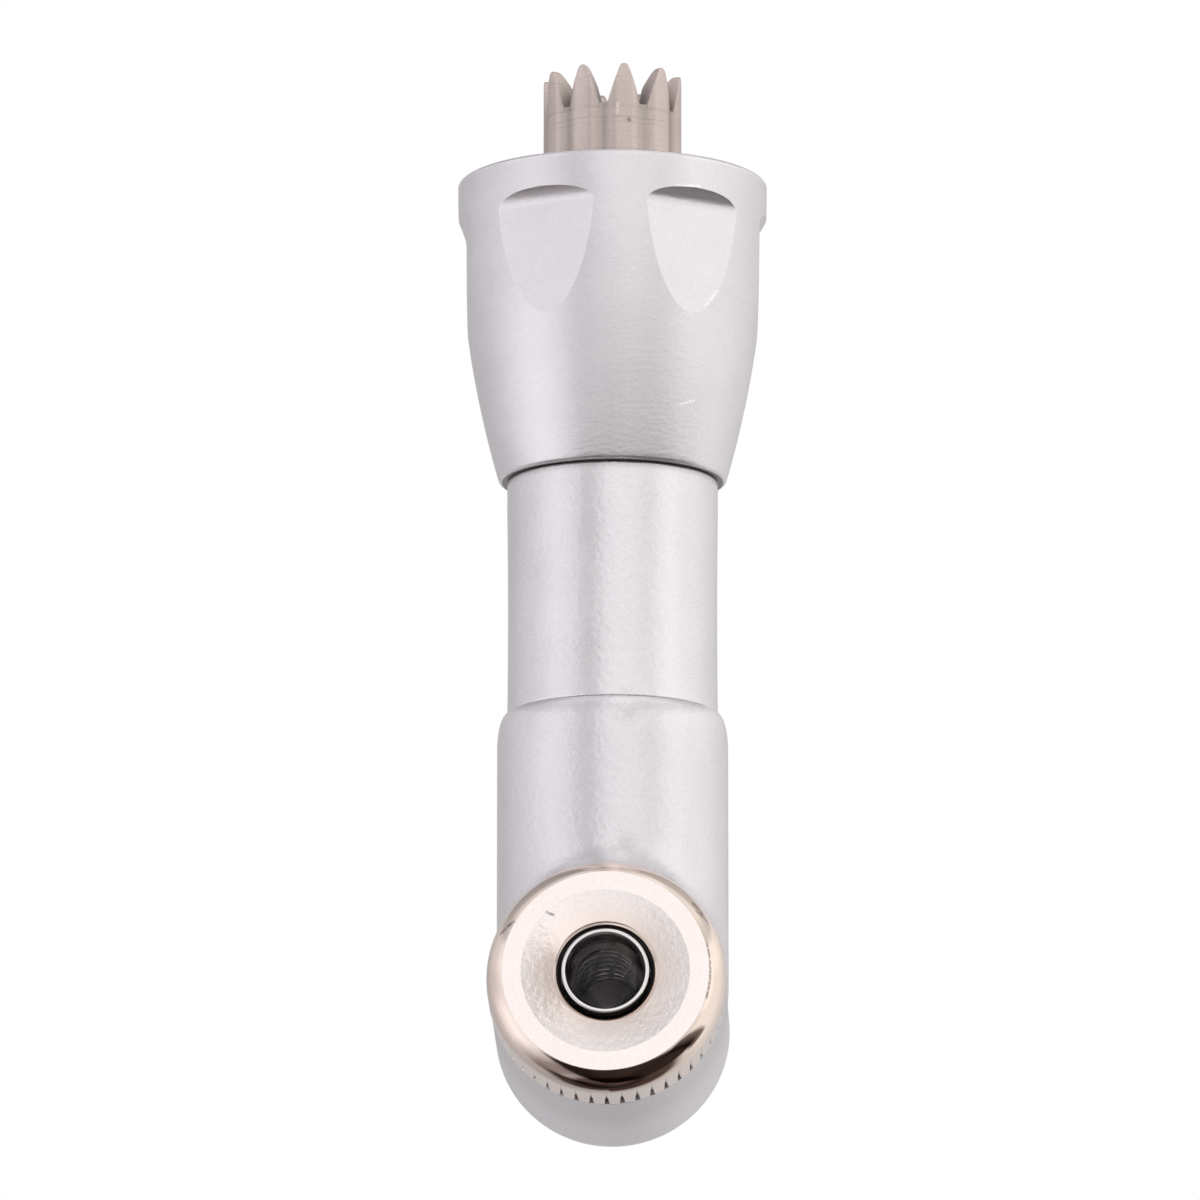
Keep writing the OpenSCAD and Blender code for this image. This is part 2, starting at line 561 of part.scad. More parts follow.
head_housing();
neck_tube();
front_cap();
spindle_seal();
preload_washer();
spindle_outer_spacer();
rear_bush();
low_seal_ring();
bearing_spacer();
neck_o_ring();
bearing_clip();
seat_collar();
index_pin();
thrust_washer();
coupling_nut();
spindle();
spindle_gear();
spindle_inner_spacer();
drive_shaft();
drive_pinion();
shaft_sleeve();
crown_gear();
cross_pin();
spindle_front_outer_race();
spindle_front_inner_race();
spindle_front_cage();
spindle_front_balls();
spindle_rear_outer_race();
spindle_rear_inner_race();
spindle_rear_cage();
spindle_rear_balls();
low_outer_race();
low_inner_race();
low_cage();
low_balls();
top_outer_race();
top_inner_race();
top_cage();
top_balls();
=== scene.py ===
"""Dresses a right-angle prophylaxis head: fine skins over its solids, plated finishes and a soft studio.

Lengths inside the classes are millimetres, as on a maker's drawing. A skin becomes metres when it
becomes a mesh, and every mesh is drawn where the piece sits, so each object stays at the origin.
"""

import json
import logging
import math
from dataclasses import dataclass
from enum import Enum
from functools import reduce
from typing import Optional, Sequence

import bpy
import numpy as np
from mathutils import Matrix, Vector
from numpy.typing import NDArray


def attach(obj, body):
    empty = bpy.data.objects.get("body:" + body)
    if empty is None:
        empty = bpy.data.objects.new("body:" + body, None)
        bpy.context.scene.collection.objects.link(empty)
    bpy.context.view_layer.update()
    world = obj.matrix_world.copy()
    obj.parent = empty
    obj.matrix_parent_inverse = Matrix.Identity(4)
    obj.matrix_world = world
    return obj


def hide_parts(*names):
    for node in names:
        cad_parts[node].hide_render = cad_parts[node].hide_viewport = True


Array = NDArray[np.float64]
Tone = tuple[float, float, float]
Corners = Sequence[Sequence[float]]
Socket = bpy.types.NodeSocket
Tree = bpy.types.NodeTree

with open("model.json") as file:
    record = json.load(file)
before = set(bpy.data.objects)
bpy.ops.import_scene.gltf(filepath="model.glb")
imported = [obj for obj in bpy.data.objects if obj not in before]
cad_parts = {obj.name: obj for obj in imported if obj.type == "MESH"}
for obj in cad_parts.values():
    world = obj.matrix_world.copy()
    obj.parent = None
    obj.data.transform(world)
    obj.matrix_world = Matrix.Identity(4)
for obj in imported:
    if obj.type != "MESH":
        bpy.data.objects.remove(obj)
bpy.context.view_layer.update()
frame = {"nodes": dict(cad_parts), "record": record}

log = logging.getLogger("prophy_head")
MM = 0.001
GUARD = 0.03  # mm from a round to the point beside it, which keeps the flat next to it flat
SHARP = math.radians(34)  # edges over this stay sharp
BENT = (1.0, 6.0)  # bend per mm where wear, dirt and painted crevice shade start, and where they are full
# colour that painted shade, with old grease in places, darkens metal towards
SHADE_AND_GREASE: Tone = (0.045, 0.036, 0.031)
SMOOTHED = 0.93  # share of the grain that a full polish takes away
WORN = (1.12, 0.05)  # rubbed metal: its colour times the first, plus the second
GRIME_AND_SHADE = 0.28  # metal in grooves, dark with dirt and painted shade: its colour times this
CLOUDED = 0.12  # how far the slow tone moves the roughness
DEEP = 2.5  # how deep a scratch is, in depths of the grain
THREAD_ROWS = 72
BORE_COLUMNS = 96


class Axis(Enum):
    """The two axes that the head's pieces are turned on."""

    NECK = "neck"
    HEAD = "head"


class Lay(Enum):
    """Which way the tool marks of a finish run."""

    RINGS = "rings along the axis"
    FACED = "rings across a face"


# ---- places and shapes ----


@dataclass(frozen=True)
class Placement:
    """Right-handed axes that a turned piece is drawn on, in millimetres."""

    origin: Array
    across: Array
    up: Array
    along: Array

    def put(self, points: Array) -> Array:
        """Moves local points to their place: origin + x across + y up + z along."""
        return self.origin + points @ np.stack([self.across, self.up, self.along])

    def local(self, points: Array) -> Array:
        """Takes points in the object's frame back to x, y, z on these axes."""
        return (points - self.origin) @ np.stack([self.across, self.up, self.along]).T


def unit(v: Array) -> Array:
    """Scales vectors to length one, along the last dimension."""
    return v / np.maximum(np.linalg.norm(v, axis=-1, keepdims=True), 1e-12)


def placement_on(origin: Sequence[float] = (0, 0, 0), along: Sequence[float] = (0, 0, 1)) -> Placement:
    """Axes whose third one runs along a direction, with the first kept level.

    Args:
        origin: point on the axis in millimetres.
        along: direction of the axis.

    Returns:
        The placement, with across = X unless the axis runs along X.
    """
    third = unit(np.asarray(along, float))
    hint = np.array([1.0, 0.0, 0.0]) if abs(third[0]) < 0.9 else np.array([0.0, 1.0, 0.0])
    first = unit(hint - (hint @ third) * third)
    return Placement(np.asarray(origin, float), first, np.cross(third, first), third)


def halves(*diameters: float) -> tuple[float, ...]:
    """Radii of some diameters."""
    return tuple(d / 2 for d in diameters)


def smoothstep(x: Array, low: float, high: float) -> Array:
    """Ease from 0 at low to 1 at high: t squared times (3 - 2 t)."""
    t = np.clip((x - low) / (high - low), 0.0, 1.0)
    return t * t * (3.0 - 2.0 * t)


def rounded(corners: Corners, steps: int = 6, closed: bool = True) -> Array:
    """Profile whose corners are rounded, with a guard point beside each round.

    A corner (r, z, radius) with inner angle A gets an arc whose centre lies on the angle's halving
    line, radius / sin(A / 2) from the corner. The arc meets each side radius / tan(A / 2) from it.

    Args:
        corners: rows of r, z and corner radius, counterclockwise with r to the right and z up.
        steps: points on each arc.
        closed: True where the last corner joins the first, False where both ends lie on the axis.

    Returns:
        Profile points (n, 2).
    """
    table = np.asarray(corners, float)
    at, radius = table[:, :2], table[:, 2].copy()
    before, after = np.roll(at, 1, axis=0), np.roll(at, -1, axis=0)
    if not closed:
        radius[[0, -1]] = 0.0
    back, ahead = unit(before - at), unit(after - at)
    half = np.arccos(np.clip((back * ahead).sum(1), -1.0, 1.0)) / 2
    straight = np.abs(np.pi / 2 - half) < 1e-3
    radius[straight] = 0.0
    short = np.minimum(np.linalg.norm(before - at, axis=1), np.linalg.norm(after - at, axis=1))
    reach = (radius / np.tan(np.where(straight, 1.0, half)))[:, None]
    centre = at + unit(back + ahead) * (radius / np.sin(half))[:, None]
    start, end = at + back * reach - centre, at + ahead * reach - centre
    sweep = np.maximum(np.pi - 2 * half, 1e-6)[:, None, None]
    s = np.linspace(0.0, 1.0, steps)[None, :, None]
    arc = centre[:, None] + (np.sin((1 - s) * sweep) * start[:, None]
                             + np.sin(s * sweep) * end[:, None]) / np.sin(sweep)
    arc = np.where((radius > 0)[:, None, None], arc, at[:, None])
    guard = reach + np.minimum(GUARD, 0.2 * short)[:, None]
    ring = np.concatenate([(at + back * guard)[:, None], arc, (at + ahead * guard)[:, None]], axis=1)
    ring = ring.reshape(-1, 2)
    if not closed:
        ring = ring[steps:-steps]
        ring[0], ring[-1] = at[0], at[-1]
    keep = np.linalg.norm(ring - np.roll(ring, 1, axis=0), axis=1) > 1e-5
    keep[0] = True
    return ring[keep]


def polar(r: Array, a: Array, z: Array) -> Array:
    """Grid from radii, angles and heights that may all change over it: (r cos a, r sin a, z)."""
    r, a, z = np.broadcast_arrays(r, a, z)
    return np.stack([r * np.cos(a), r * np.sin(a), z], axis=-1)


def turned(profile: Array, columns: int = 128, first: float = 0.0) -> Array:
    """Carries a profile round the axis: (r, z) becomes (r cos a, r sin a, z).

    Args:
        profile: points (n, 2).
        columns: how many equal steps make the turn.
        first: angle of the first column in radians.

    Returns:
        Grid (n, columns, 3).
    """
    return polar(profile[:, :1], first + np.linspace(0.0, 2 * np.pi, columns, endpoint=False), profile[:, 1:])


def both_sides(right: Array) -> Array:
    """Mirrors columns that run from a sector's middle to its edge, so that they cover all of it."""
    return np.concatenate([-right[:, 1:-1][:, ::-1], right], axis=1)


def wound(z: Array, a: Array, pitch: float, half: float, flank: float) -> Array:
    """How deep each point lies in a groove wound round the axis, 0 outside it and 1 on its floor.

    The groove's middle rises by one pitch for each turn, and its depth falls off in a straight line
    over the flank, which ends at the half width.

    Args:
        z: heights.
        a: angles in radians.
        pitch: rise for each turn.
        half: half width of the groove at its mouth.
        flank: width of each flank.

    Returns:
        Share of the depth.
    """
    off = (np.mod(z / pitch - a / (2 * np.pi) + 0.5, 1.0) - 0.5) * pitch
    return np.clip((half - np.abs(off)) / flank, 0, 1)


def round_quads(rows: int, cols: int, closed: bool) -> Array:
    """Four-sided faces of a grid whose columns go round, and whose rows do too where it is closed.

    Args:
        rows: number of rows.
        cols: number of columns.
        closed: True where the last row joins the first.

    Returns:
        Point numbers (n, 4).
    """
    point = np.arange(rows * cols).reshape(rows, cols)
    right, above = np.roll(point, -1, axis=1), np.roll(point, -1, axis=0)
    faces = np.stack([point, right, np.roll(above, -1, axis=1), above], -1)
    return faces[:rows if closed else -1].reshape(-1, 4)


def thread_rows(radius: float, high: float, low: float) -> Array:
    """Close rows down a bore, which a thread can be wound into: radius and height of each."""
    return np.stack([np.full(THREAD_ROWS, radius), np.linspace(high, low, THREAD_ROWS)], axis=1)


@dataclass
class Skin:
    """Grid of local points: rows follow a profile, columns go once round the axis.

    Attributes:
        points: grid (rows, columns, 3) in millimetres.
        loop: True where the last row joins the first, False where both end rows close at a pole.
        polish: for each row or point, how polished the metal is, 0 to 1.
        shade: for each row or point, how much old grease and shadow darken it, 0 to 1.
    """

    points: Array
    loop: bool = True
    polish: Optional[Array] = None
    shade: Optional[Array] = None

    def cells(self) -> tuple[Array, Array, Array]:
        """Corners of the grid as a closed shell.

        Returns:
            Points (n, 3), four-sided faces and three-sided faces, which only the poles have.
        """
        cols = self.points.shape[1]
        body = self.points if self.loop else self.points[1:-1]
        quads, flat = round_quads(len(body), cols, self.loop), body.reshape(-1, 3)
        if self.loop:
            return flat, quads, np.empty((0, 3), int)
        here, last = np.arange(cols), len(flat) - cols
        after = (here + 1) % cols
        low = np.stack([np.full(cols, len(flat)), after, here], -1)
        high = np.stack([np.full(cols, len(flat) + 1), last + here, last + after], -1)
        poles = np.stack([self.points[0].mean(0), self.points[-1].mean(0)])
        return np.concatenate([flat, poles]), quads, np.concatenate([low, high])

    def spread(self, given: Array) -> Array:
        """Values of every point in the order that cells() gives.

        Args:
            given: one value for each row, or for each point of the grid.

        Returns:
            Values (n,).
        """
        grid = np.broadcast_to(given[:, None] if given.ndim == 1 else given, self.points.shape[:2])
        if self.loop:
            return grid.reshape(-1)
        return np.concatenate([grid[1:-1].reshape(-1), [grid[0].mean(), grid[-1].mean()]])


# ---- meshes ----


def show(name: str, data: bpy.types.ID) -> bpy.types.Object:
    """Adds an object at the origin to the scene.

    Args:
        name: its name.
        data: its mesh, camera or lamp.

    Returns:
        The object.
    """
    made = bpy.data.objects.new(name, data)
    bpy.context.scene.collection.objects.link(made)
    return made


def fetch(items: bpy.types.bpy_prop_collection, key: str, width: int = 1, kind: type = np.float32) -> Array:
    """Reads one property of every item in a mesh's list.

    Args:
        items: the mesh's points, loops, edges or faces.
        key: name of the property.
        width: how many numbers each item has.
        kind: type of the numbers.

    Returns:
        Values (n,), or (n, width) where an item has more than one.
    """
    values = np.empty(len(items) * width, kind)
    items.foreach_get(key, values)
    return values if width == 1 else values.reshape(-1, width)


def store(mesh: bpy.types.Mesh, label: str, values: Array) -> None:
    """Stores one number for each point of a mesh, over any that it has under that label."""
    layer = mesh.attributes.get(label) or mesh.attributes.new(label, "FLOAT", "POINT")
    layer.data.foreach_set("value", values.astype(np.float32))


def smooth(mesh: bpy.types.Mesh) -> None:
    """Shades a mesh smooth between its sharp edges."""
    mesh.shade_smooth()
    mesh.set_sharp_from_angle(angle=SHARP)


def mesh_from(name: str, points: Array, quads: Array, tris: Array) -> bpy.types.Mesh:
    """Makes a mesh from whole arrays.

    Args:
        name: name of the mesh.
        points: corners in metres (n, 3).
        quads: four-sided faces (n, 4).
        tris: three-sided faces (n, 3).

    Returns:
        The mesh, shaded smooth with sharp edges.
    """
    mesh = bpy.data.meshes.new(name)
    loops = np.concatenate([quads.reshape(-1), tris.reshape(-1)])
    totals = np.repeat([4, 3], [len(quads), len(tris)])
    mesh.vertices.add(len(points))
    mesh.loops.add(len(loops))
    mesh.polygons.add(len(totals))
    mesh.vertices.foreach_set("co", points.astype(np.float32).reshape(-1))
    for items, key, values in ((mesh.loops, "vertex_index", loops),
                               (mesh.polygons, "loop_start", np.cumsum(totals) - totals),
                               (mesh.polygons, "loop_total", totals)):
        items.foreach_set(key, values.astype(np.int32))
    mesh.update(calc_edges=True)
    mesh.validate()
    smooth(mesh)
    return mesh


def mark_bends(mesh: bpy.types.Mesh) -> None:
    """Stores where the surface bends as two masks on the mesh's points.

    Bend = angle between two neighbouring faces over the distance between their middles, per mm.
    "ridge" is high where the bend is outward, so where plating wears, and "groove" where it is
    inward, so where dirt stays and where painted shade darkens the metal.

    Args:
        mesh: the mesh to mark, in metres.
    """
    normal, middle = fetch(mesh.polygons, "normal", 3), fetch(mesh.polygons, "center", 3)
    total, edge_of = (fetch(items, key, kind=np.int32) for items, key in
                      ((mesh.polygons, "loop_total"), (mesh.loops, "edge_index")))
    ends = fetch(mesh.edges, "vertices", 2, np.int32)
    order = np.argsort(edge_of, kind="stable")
    edge, face = edge_of[order], np.repeat(np.arange(len(total)), total)[order]
    pair = edge[1:] == edge[:-1]
    one, two, edge = face[:-1][pair], face[1:][pair], edge[:-1][pair]
    turn = np.arccos(np.clip((normal[one] * normal[two]).sum(1), -1, 1))
    apart = middle[two] - middle[one]
    bend = turn / np.maximum(np.linalg.norm(apart, axis=1) / MM, 0.02)
    outward = (normal[one] * apart).sum(1) < 0
    for label, chosen in (("ridge", outward), ("groove", ~outward)):
        most = np.zeros(len(mesh.vertices))
        np.maximum.at(most, ends[edge[chosen]].reshape(-1), np.repeat(bend[chosen], 2))
        store(mesh, label, smoothstep(most, *BENT))


# ---- node sheets and shared effects ----


class Sheet:
    """Short hand for laying nodes out in one node tree."""

    def __init__(self, tree: Tree) -> None:
        """Keeps the tree that the nodes go into."""
        self.tree = tree

    def fill(self, node: bpy.types.Node, inputs: dict) -> None:
        """Fills a node's inputs, known by name or number.

        Args:
            node: the node.
            inputs: for each input, the socket that feeds it or a plain value.
        """
        for key, value in inputs.items():
            if isinstance(value, Socket):
                self.tree.links.new(value, node.inputs[key])
            else:
                node.inputs[key].default_value = value

    def node(self, kind: str, inputs: Optional[dict] = None, **settings: object) -> bpy.types.Node:
        """Adds a node.

        Args:
            kind: its type.
            inputs: what fill() puts into it.
            settings: its properties.

        Returns:
            The node.
        """
        made = self.tree.nodes.new(kind)
        for key, value in settings.items():
            setattr(made, key, value)
        self.fill(made, inputs or {})
        return made

    def group(self, tree: Tree, **inputs: object) -> bpy.types.bpy_prop_collection:
        """Places a shared group, and returns its outputs."""
        return self.node("ShaderNodeGroup", inputs, node_tree=tree).outputs

    def math(self, operation: str, *values: object) -> Socket:
        """Result of a Math node."""
        return self.node("ShaderNodeMath", dict(enumerate(values)), operation=operation).outputs[0]

    def fold(self, operation: str, *values: object) -> Socket:
        """Carries an operation with two sides along a row of values."""
        return reduce(lambda a, b: self.math(operation, a, b), values)

    def times(self, *values: object) -> Socket:
        """Product of two or more numbers."""
        return self.fold("MULTIPLY", *values)

    def vector(self, operation: str, *values: object) -> Socket:
        """Result of a Vector Math node: a number for a dot product or a length, else a vector."""
        made = self.node("ShaderNodeVectorMath", dict(enumerate(values)), operation=operation)
        return made.outputs["Value" if operation in ("DOT_PRODUCT", "LENGTH") else "Vector"]

    def scaled(self, vector: object, by: object) -> Socket:
        """A vector or a colour times a number."""
        return self.node("ShaderNodeVectorMath", {0: vector, "Scale": by}, operation="SCALE").outputs[0]

    def blend(self, share: object, *colours: object) -> Socket:
        """Goes from one colour to another by a share."""
        a, b = (c if isinstance(c, Socket) else (*c, 1.0) for c in colours)
        return self.node("ShaderNodeMix", {0: share, 6: a, 7: b}, data_type="RGBA").outputs[2]

    def span(self, value: object, low: float, high: float, *to: float) -> Socket:
        """Maps a range to another, 0 to 1 where none is given, eased and clamped."""
        inputs = dict(enumerate((value, low, high, *to)))
        return self.node("ShaderNodeMapRange", inputs, interpolation_type="SMOOTHSTEP").outputs[0]

    def noise(self, at: object, scale: object, detail: float = 2.0, rough: float = 0.5,
              line: bool = False) -> Socket:
        """Noise at a point, or along a line, where `at` is a number."""
        inputs = {"W" if line else "Vector": at, "Scale": scale, "Detail": detail, "Roughness": rough}
        return self.node("ShaderNodeTexNoise", inputs, noise_dimensions="1D" if line else "3D").outputs[0]

    def ramp(self, value: object, stops: Sequence[tuple[float, Tone]]) -> Socket:
        """Colour ramp, eased from stop to stop.

        Args:
            value: where on the ramp, 0 to 1.
            stops: place and colour of each stop.

        Returns:
            The colour there.
        """
        made = self.node("ShaderNodeValToRGB", {0: value})
        made.color_ramp.interpolation = "EASE"
        spots = made.color_ramp.elements
        for at, _ in stops[2:]:
            spots.new(at)
        for spot, (at, tone) in zip(spots, stops):
            spot.position, spot.color = at, (*tone, 1.0)
        return made.outputs[0]


class Group(Sheet):
    """A node group, whose first input is the place on the object."""

    def __init__(self, name: str, **takes: object) -> None:
        """Starts the group.

        Args:
            name: its name.
            takes: default of each input, which is a vector where that is a tuple, else a number.
        """
        super().__init__(bpy.data.node_groups.new(name, "ShaderNodeTree"))
        for label, value in {"Vector": (0, 0, 0), **takes}.items():
            kind = "NodeSocketVector" if isinstance(value, tuple) else "NodeSocketFloat"
            socket = self.tree.interface.new_socket(label, in_out="INPUT", socket_type=kind)
            socket.default_value = value
        self.given = self.node("NodeGroupInput").outputs
        self.at = self.given["Vector"]

    def close(self, **gives: Socket) -> Tree:
        """Ends the group.

        Args:
            gives: its outputs, which are all plain numbers.

        Returns:
            Its tree.
        """
        for label in gives:
            self.tree.interface.new_socket(label, in_out="OUTPUT", socket_type="NodeSocketFloat")
        self.node("NodeGroupOutput", gives)
        return self.tree


class Effects:
    """Node groups that several finishes share, each built once. They give only masks and numbers."""

    def __init__(self) -> None:
        """Builds the five groups."""
        self.grain, self.scratches, self.tool_marks = self._grain(), self._scratches(), self._tool_marks()
        self.wear, self.nick = self._wear(), self._nick()

    @staticmethod
    def _grain() -> Tree:
        """Blasted grain: bumps of two sizes, specks of tone, and a slow tone that clouds the plating.

        Stretch squeezes the grain along the neck's axis, which draws it out round the piece, and
        Mottle is how much deeper the coarse bumps are than the fine ones.

        Returns:
            The group.
        """
        s = Group("blasted_grain", Scale=9000.0, Stretch=1.0, Mottle=6.0)
        squeeze = s.node("ShaderNodeCombineXYZ", {0: 1.0, 1: 1.0, 2: s.given["Stretch"]})
        at = s.vector("MULTIPLY", s.at, squeeze.outputs[0])
        fine = s.noise(at, s.given["Scale"], 2.0, 0.55)
        coarse, cloud, speck = (
            s.noise(at, s.times(s.given["Scale"], share), detail, rough)
            for share, detail, rough in ((0.4, 2.0, 0.5), (0.035, 3.0, 0.55), (1.25, 1.0, 0.5)))
        return s.close(Height=s.math("MULTIPLY_ADD", coarse, s.given["Mottle"], fine),
                       Tone=s.math("MULTIPLY_ADD", cloud, 0.7, s.times(coarse, 0.3)),
                       Speck=s.span(speck, 0.28, 0.72, -1.0, 1.0))

    @staticmethod
    def _scratches() -> Tree:
        """Hair scratches: noise drawn out along three directions, of which only the peaks show.

        Returns:
            The group.
        """
        s = Group("hair_scratches", Scale=700.0, Amount=0.5)
        lines = []
        for k, turn in enumerate(((0.4, 0.2, 0.9), (1.1, 0.7, -0.5), (-0.5, 1.3, 0.3))):
            lie = s.node("ShaderNodeMapping", {"Vector": s.at, "Rotation": turn, "Scale": (0.55, 14.0, 14.0),
                                               "Location": (0.013 * k, 0.004 * k, 0.0)})
            lines.append(s.span(s.noise(lie.outputs[0], s.given["Scale"], 1.0, 0.4), 0.735, 0.78))
        patch = s.noise(s.at, s.times(s.given["Scale"], 0.35))
        return s.close(Mask=s.times(s.fold("MAXIMUM", *lines), s.span(patch, 0.4, 0.62), s.given["Amount"]))

    @staticmethod
    def _tool_marks() -> Tree:
        """Lathe marks: uneven rings, either along the axis or outwards from it over a face.

        Returns:
            The group.
        """
        s = Group("tool_marks", Origin=(0, 0, 0), Axis=(0, 0, 1), Scale=9000.0)
        local = s.vector("SUBTRACT", s.at, s.given["Origin"])
        along = s.vector("DOT_PRODUCT", local, s.given["Axis"])
        radius = s.vector("LENGTH", s.vector("CROSS_PRODUCT", local, s.given["Axis"]))
        rings, faced = (s.noise(s.times(where, s.given["Scale"]), 1.0, 3.0, 0.6, line=True)
                        for where in (along, radius))
        return s.close(Rings=rings, Faced=faced)

    @staticmethod
    def _wear() -> Tree:
        """Handling: bright rubbed ridges, and grooves darkened by dirt and painted shade, both broken up by
        noise.

        Returns:
            The group.
        """
        s = Group("handling", Ridge=0.0, Groove=0.0)
        patch = s.noise(s.at, 1400.0, 3.0, 0.6)
        return s.close(Rubbed=s.times(s.given["Ridge"], s.span(patch, 0.3, 0.62)),
                       Dirty=s.times(s.given["Groove"], s.span(patch, 0.25, 0.7, 0.5, 1.0)))

    @staticmethod
    def _nick() -> Tree:
        """One knock: full on the line between two points, gone at its width away, broken up by noise.

        Returns:
            The group.
        """
        s = Group("nick", From=(0, 0, 0), To=(0, 0, 1), Width=0.0001)
        line = s.vector("SUBTRACT", s.given["To"], s.given["From"])
        way = s.vector("SUBTRACT", s.at, s.given["From"])
        share = s.math("DIVIDE", s.vector("DOT_PRODUCT", way, line), s.vector("DOT_PRODUCT", line, line))
        foot = s.scaled(line, s.node("ShaderNodeClamp", {0: share}).outputs[0])
        off = s.math("DIVIDE", s.vector("LENGTH", s.vector("SUBTRACT", way, foot)), s.given["Width"])
        broken = s.span(s.noise(s.at, 9000.0, 2.0, 0.6), 0.36, 0.56, 0.25, 1.0)
        return s.close(Mask=s.times(s.span(off, 0.1, 1.0, 1.0, 0.0), broken))


# ---- finishes ----


def principled(name: str) -> tuple[bpy.types.Material, Sheet, bpy.types.Node, Socket]:
    """Starts a material.

    Args:
        name: its name.

    Returns:
        The material, a sheet on its nodes, its Principled BSDF and the place on the object.
    """
    material = bpy.data.materials.new(name)
    material.use_nodes = True
    s = Sheet(material.node_tree)
    return material, s, s.tree.nodes["Principled BSDF"], s.node("ShaderNodeTexCoord").outputs["Object"]


@dataclass(frozen=True)
class Knock:
    """One knock, smear or painted dark reflection line on a surface, drawn as a short line.

    Attributes:
        start, end: radius, angle in degrees and height about the finish's axis.
        width: how far from the line it fades out, in millimetres.
        bare: True where bright metal shows, False for a dark mark, which is a smear on some pieces and a
            painted dark reflection line on the cap's edge.
    """

    start: tuple[float, float, float]
    end: tuple[float, float, float]
    width: float
    bare: bool = True

    def ends(self, place: Placement) -> Array:
        """Both ends in metres in the object's frame (2, 3)."""
        r, angle, height = np.array([self.start, self.end]).T
        return place.put(polar(r, np.radians(angle), height)) * MM


@dataclass(frozen=True)
class Finish:
    """One metal, plating or rubber, with its own values for the shared effects.

    Attributes:
        name: name of the material, and the slot that it fills.
        colour: base colour, linear.
        cloud: second colour that the plating's slow tone goes towards.
        rough, polished: roughness of the satin part, and where a piece is polished.
        metal: 1 for bright metal, less for a plating that scatters some light, 0 for rubber.
        grain, grain_scale, stretch: depth in micrometres, frequency and stretch of the blasted grain.
        mottle: how much deeper the coarse bumps are than the fine ones.
        speck: how much the grain's specks change the tone.
        marks, marks_scale: depth in micrometres and frequency of the lathe marks.
        lines: how dark the deepest lathe marks are.
        scratch: how many hair scratches show.
        rubbed, and the grooves' dirt and painted shade: how bright the ridges are rubbed, and how dark the
        grooves are.
        lay, axis: which way the lathe marks run, and the axis that they run round.
        blush: colour of the polished parts, or None where they keep the satin's.
        knocks: knocks, smears and painted dark reflection lines on pieces of this finish.
    """

    name: str
    colour: Tone
    cloud: Tone
    rough: float = 0.35
    polished: float = 0.1
    metal: float = 1.0
    grain: float = 0.0
    grain_scale: float = 9000.0
    stretch: float = 1.0
    mottle: float = 6.0
    speck: float = 0.0
    marks: float = 0.0
    marks_scale: float = 9000.0
    lines: float = 0.0
    scratch: float = 0.0
    rubbed: float = 0.0
    dirt_and_shade: float = 0.0
    lay: Lay = Lay.RINGS
    axis: Axis = Axis.NECK
    blush: Optional[Tone] = None
    knocks: tuple[Knock, ...] = ()

    def build(self, effects: Effects, axes: dict[Axis, Placement]) -> bpy.types.Material:
        """Makes the material.

        Args:
            effects: the shared groups.
            axes: the head's two axes.

        Returns:
            The material, with its own Principled BSDF.
        """
        material, s, shader, at = principled(self.name)
        place = axes[self.axis]
        ridge, groove, polish, shade = (s.node("ShaderNodeAttribute", attribute_name=label).outputs["Fac"]
                                        for label in ("ridge", "groove", "polish", "shade"))
        grain = s.group(effects.grain, Vector=at, Scale=self.grain_scale, Stretch=self.stretch,
                        Mottle=self.mottle)
        scratches = s.group(effects.scratches, Vector=at, Amount=self.scratch)["Mask"]
        marks = s.group(effects.tool_marks, Vector=at, Origin=tuple(place.origin * MM),
                        Axis=tuple(place.along), Scale=self.marks_scale)
        rings = marks["Faced" if self.lay is Lay.FACED else "Rings"]
        wear = s.group(effects.wear, Vector=at, Ridge=ridge, Groove=groove)
        shine = s.times(s.math("MAXIMUM", wear["Rubbed"], scratches), self.rubbed)
        # dirt and painted shade in the grooves
        grime_and_shade = s.times(wear["Dirty"], self.dirt_and_shade)
        for knock in self.knocks:
            start, end = knock.ends(place)
            nick = s.group(effects.nick, Vector=at, From=tuple(start), To=tuple(end), Width=knock.width * MM)
            if knock.bare:
                shine = s.math("MAXIMUM", shine, nick["Mask"])
            else:
                # a dark mark: a smear, and on the cap's edge a painted dark reflection line
                grime_and_shade = s.math("MAXIMUM", grime_and_shade, nick["Mask"])

        colour = s.blend(s.span(grain["Tone"], 0.3, 0.7), self.colour, self.cloud)
        if self.blush is not None:
            colour = s.blend(polish, colour, self.blush)
        dull = s.math("SUBTRACT", 1.0, s.times(polish, SMOOTHED))
        tone = s.math("MULTIPLY_ADD", s.times(grain["Speck"], dull), self.speck, 1.0)
        lines = s.times(s.span(rings, 0.58, 0.7), s.span(grain["Tone"], 0.44, 0.56))
        colour = s.scaled(colour, s.math("SUBTRACT", tone, s.times(lines, self.lines)))
        bare = tuple(min(1.0, c * WORN[0] + WORN[1]) for c in self.colour)
        dark = tuple(c * GRIME_AND_SHADE for c in self.colour)
        # rubbed wear lightens; dirt and painted shade darken the grooves; the shade attribute paints shadow,
        # with old grease in places
        for mask, over in ((shine, bare), (grime_and_shade, dark), (shade, SHADE_AND_GREASE)):
            colour = s.blend(mask, colour, over)

        level = s.math("MULTIPLY_ADD", s.math("SUBTRACT", grain["Tone"], 0.5), CLOUDED, self.rough)
        level = s.math("SUBTRACT", level, s.times(shine, self.rough * 0.4))
        rough = s.math("MULTIPLY_ADD", polish, s.math("SUBTRACT", self.polished, level), level)

        height = s.math("MULTIPLY_ADD", rings, self.marks, s.times(grain["Height"], self.grain))
        height = s.math("SUBTRACT", height, s.times(shine, DEEP * self.grain))
        bump = s.node("ShaderNodeBump", {"Strength": 1.0, "Distance": 1e-6, "Height": s.times(height, dull)})
        s.fill(shader, {"Metallic": self.metal, "Base Color": colour, "Roughness": rough,
                        "Normal": bump.outputs[0]})
        return material


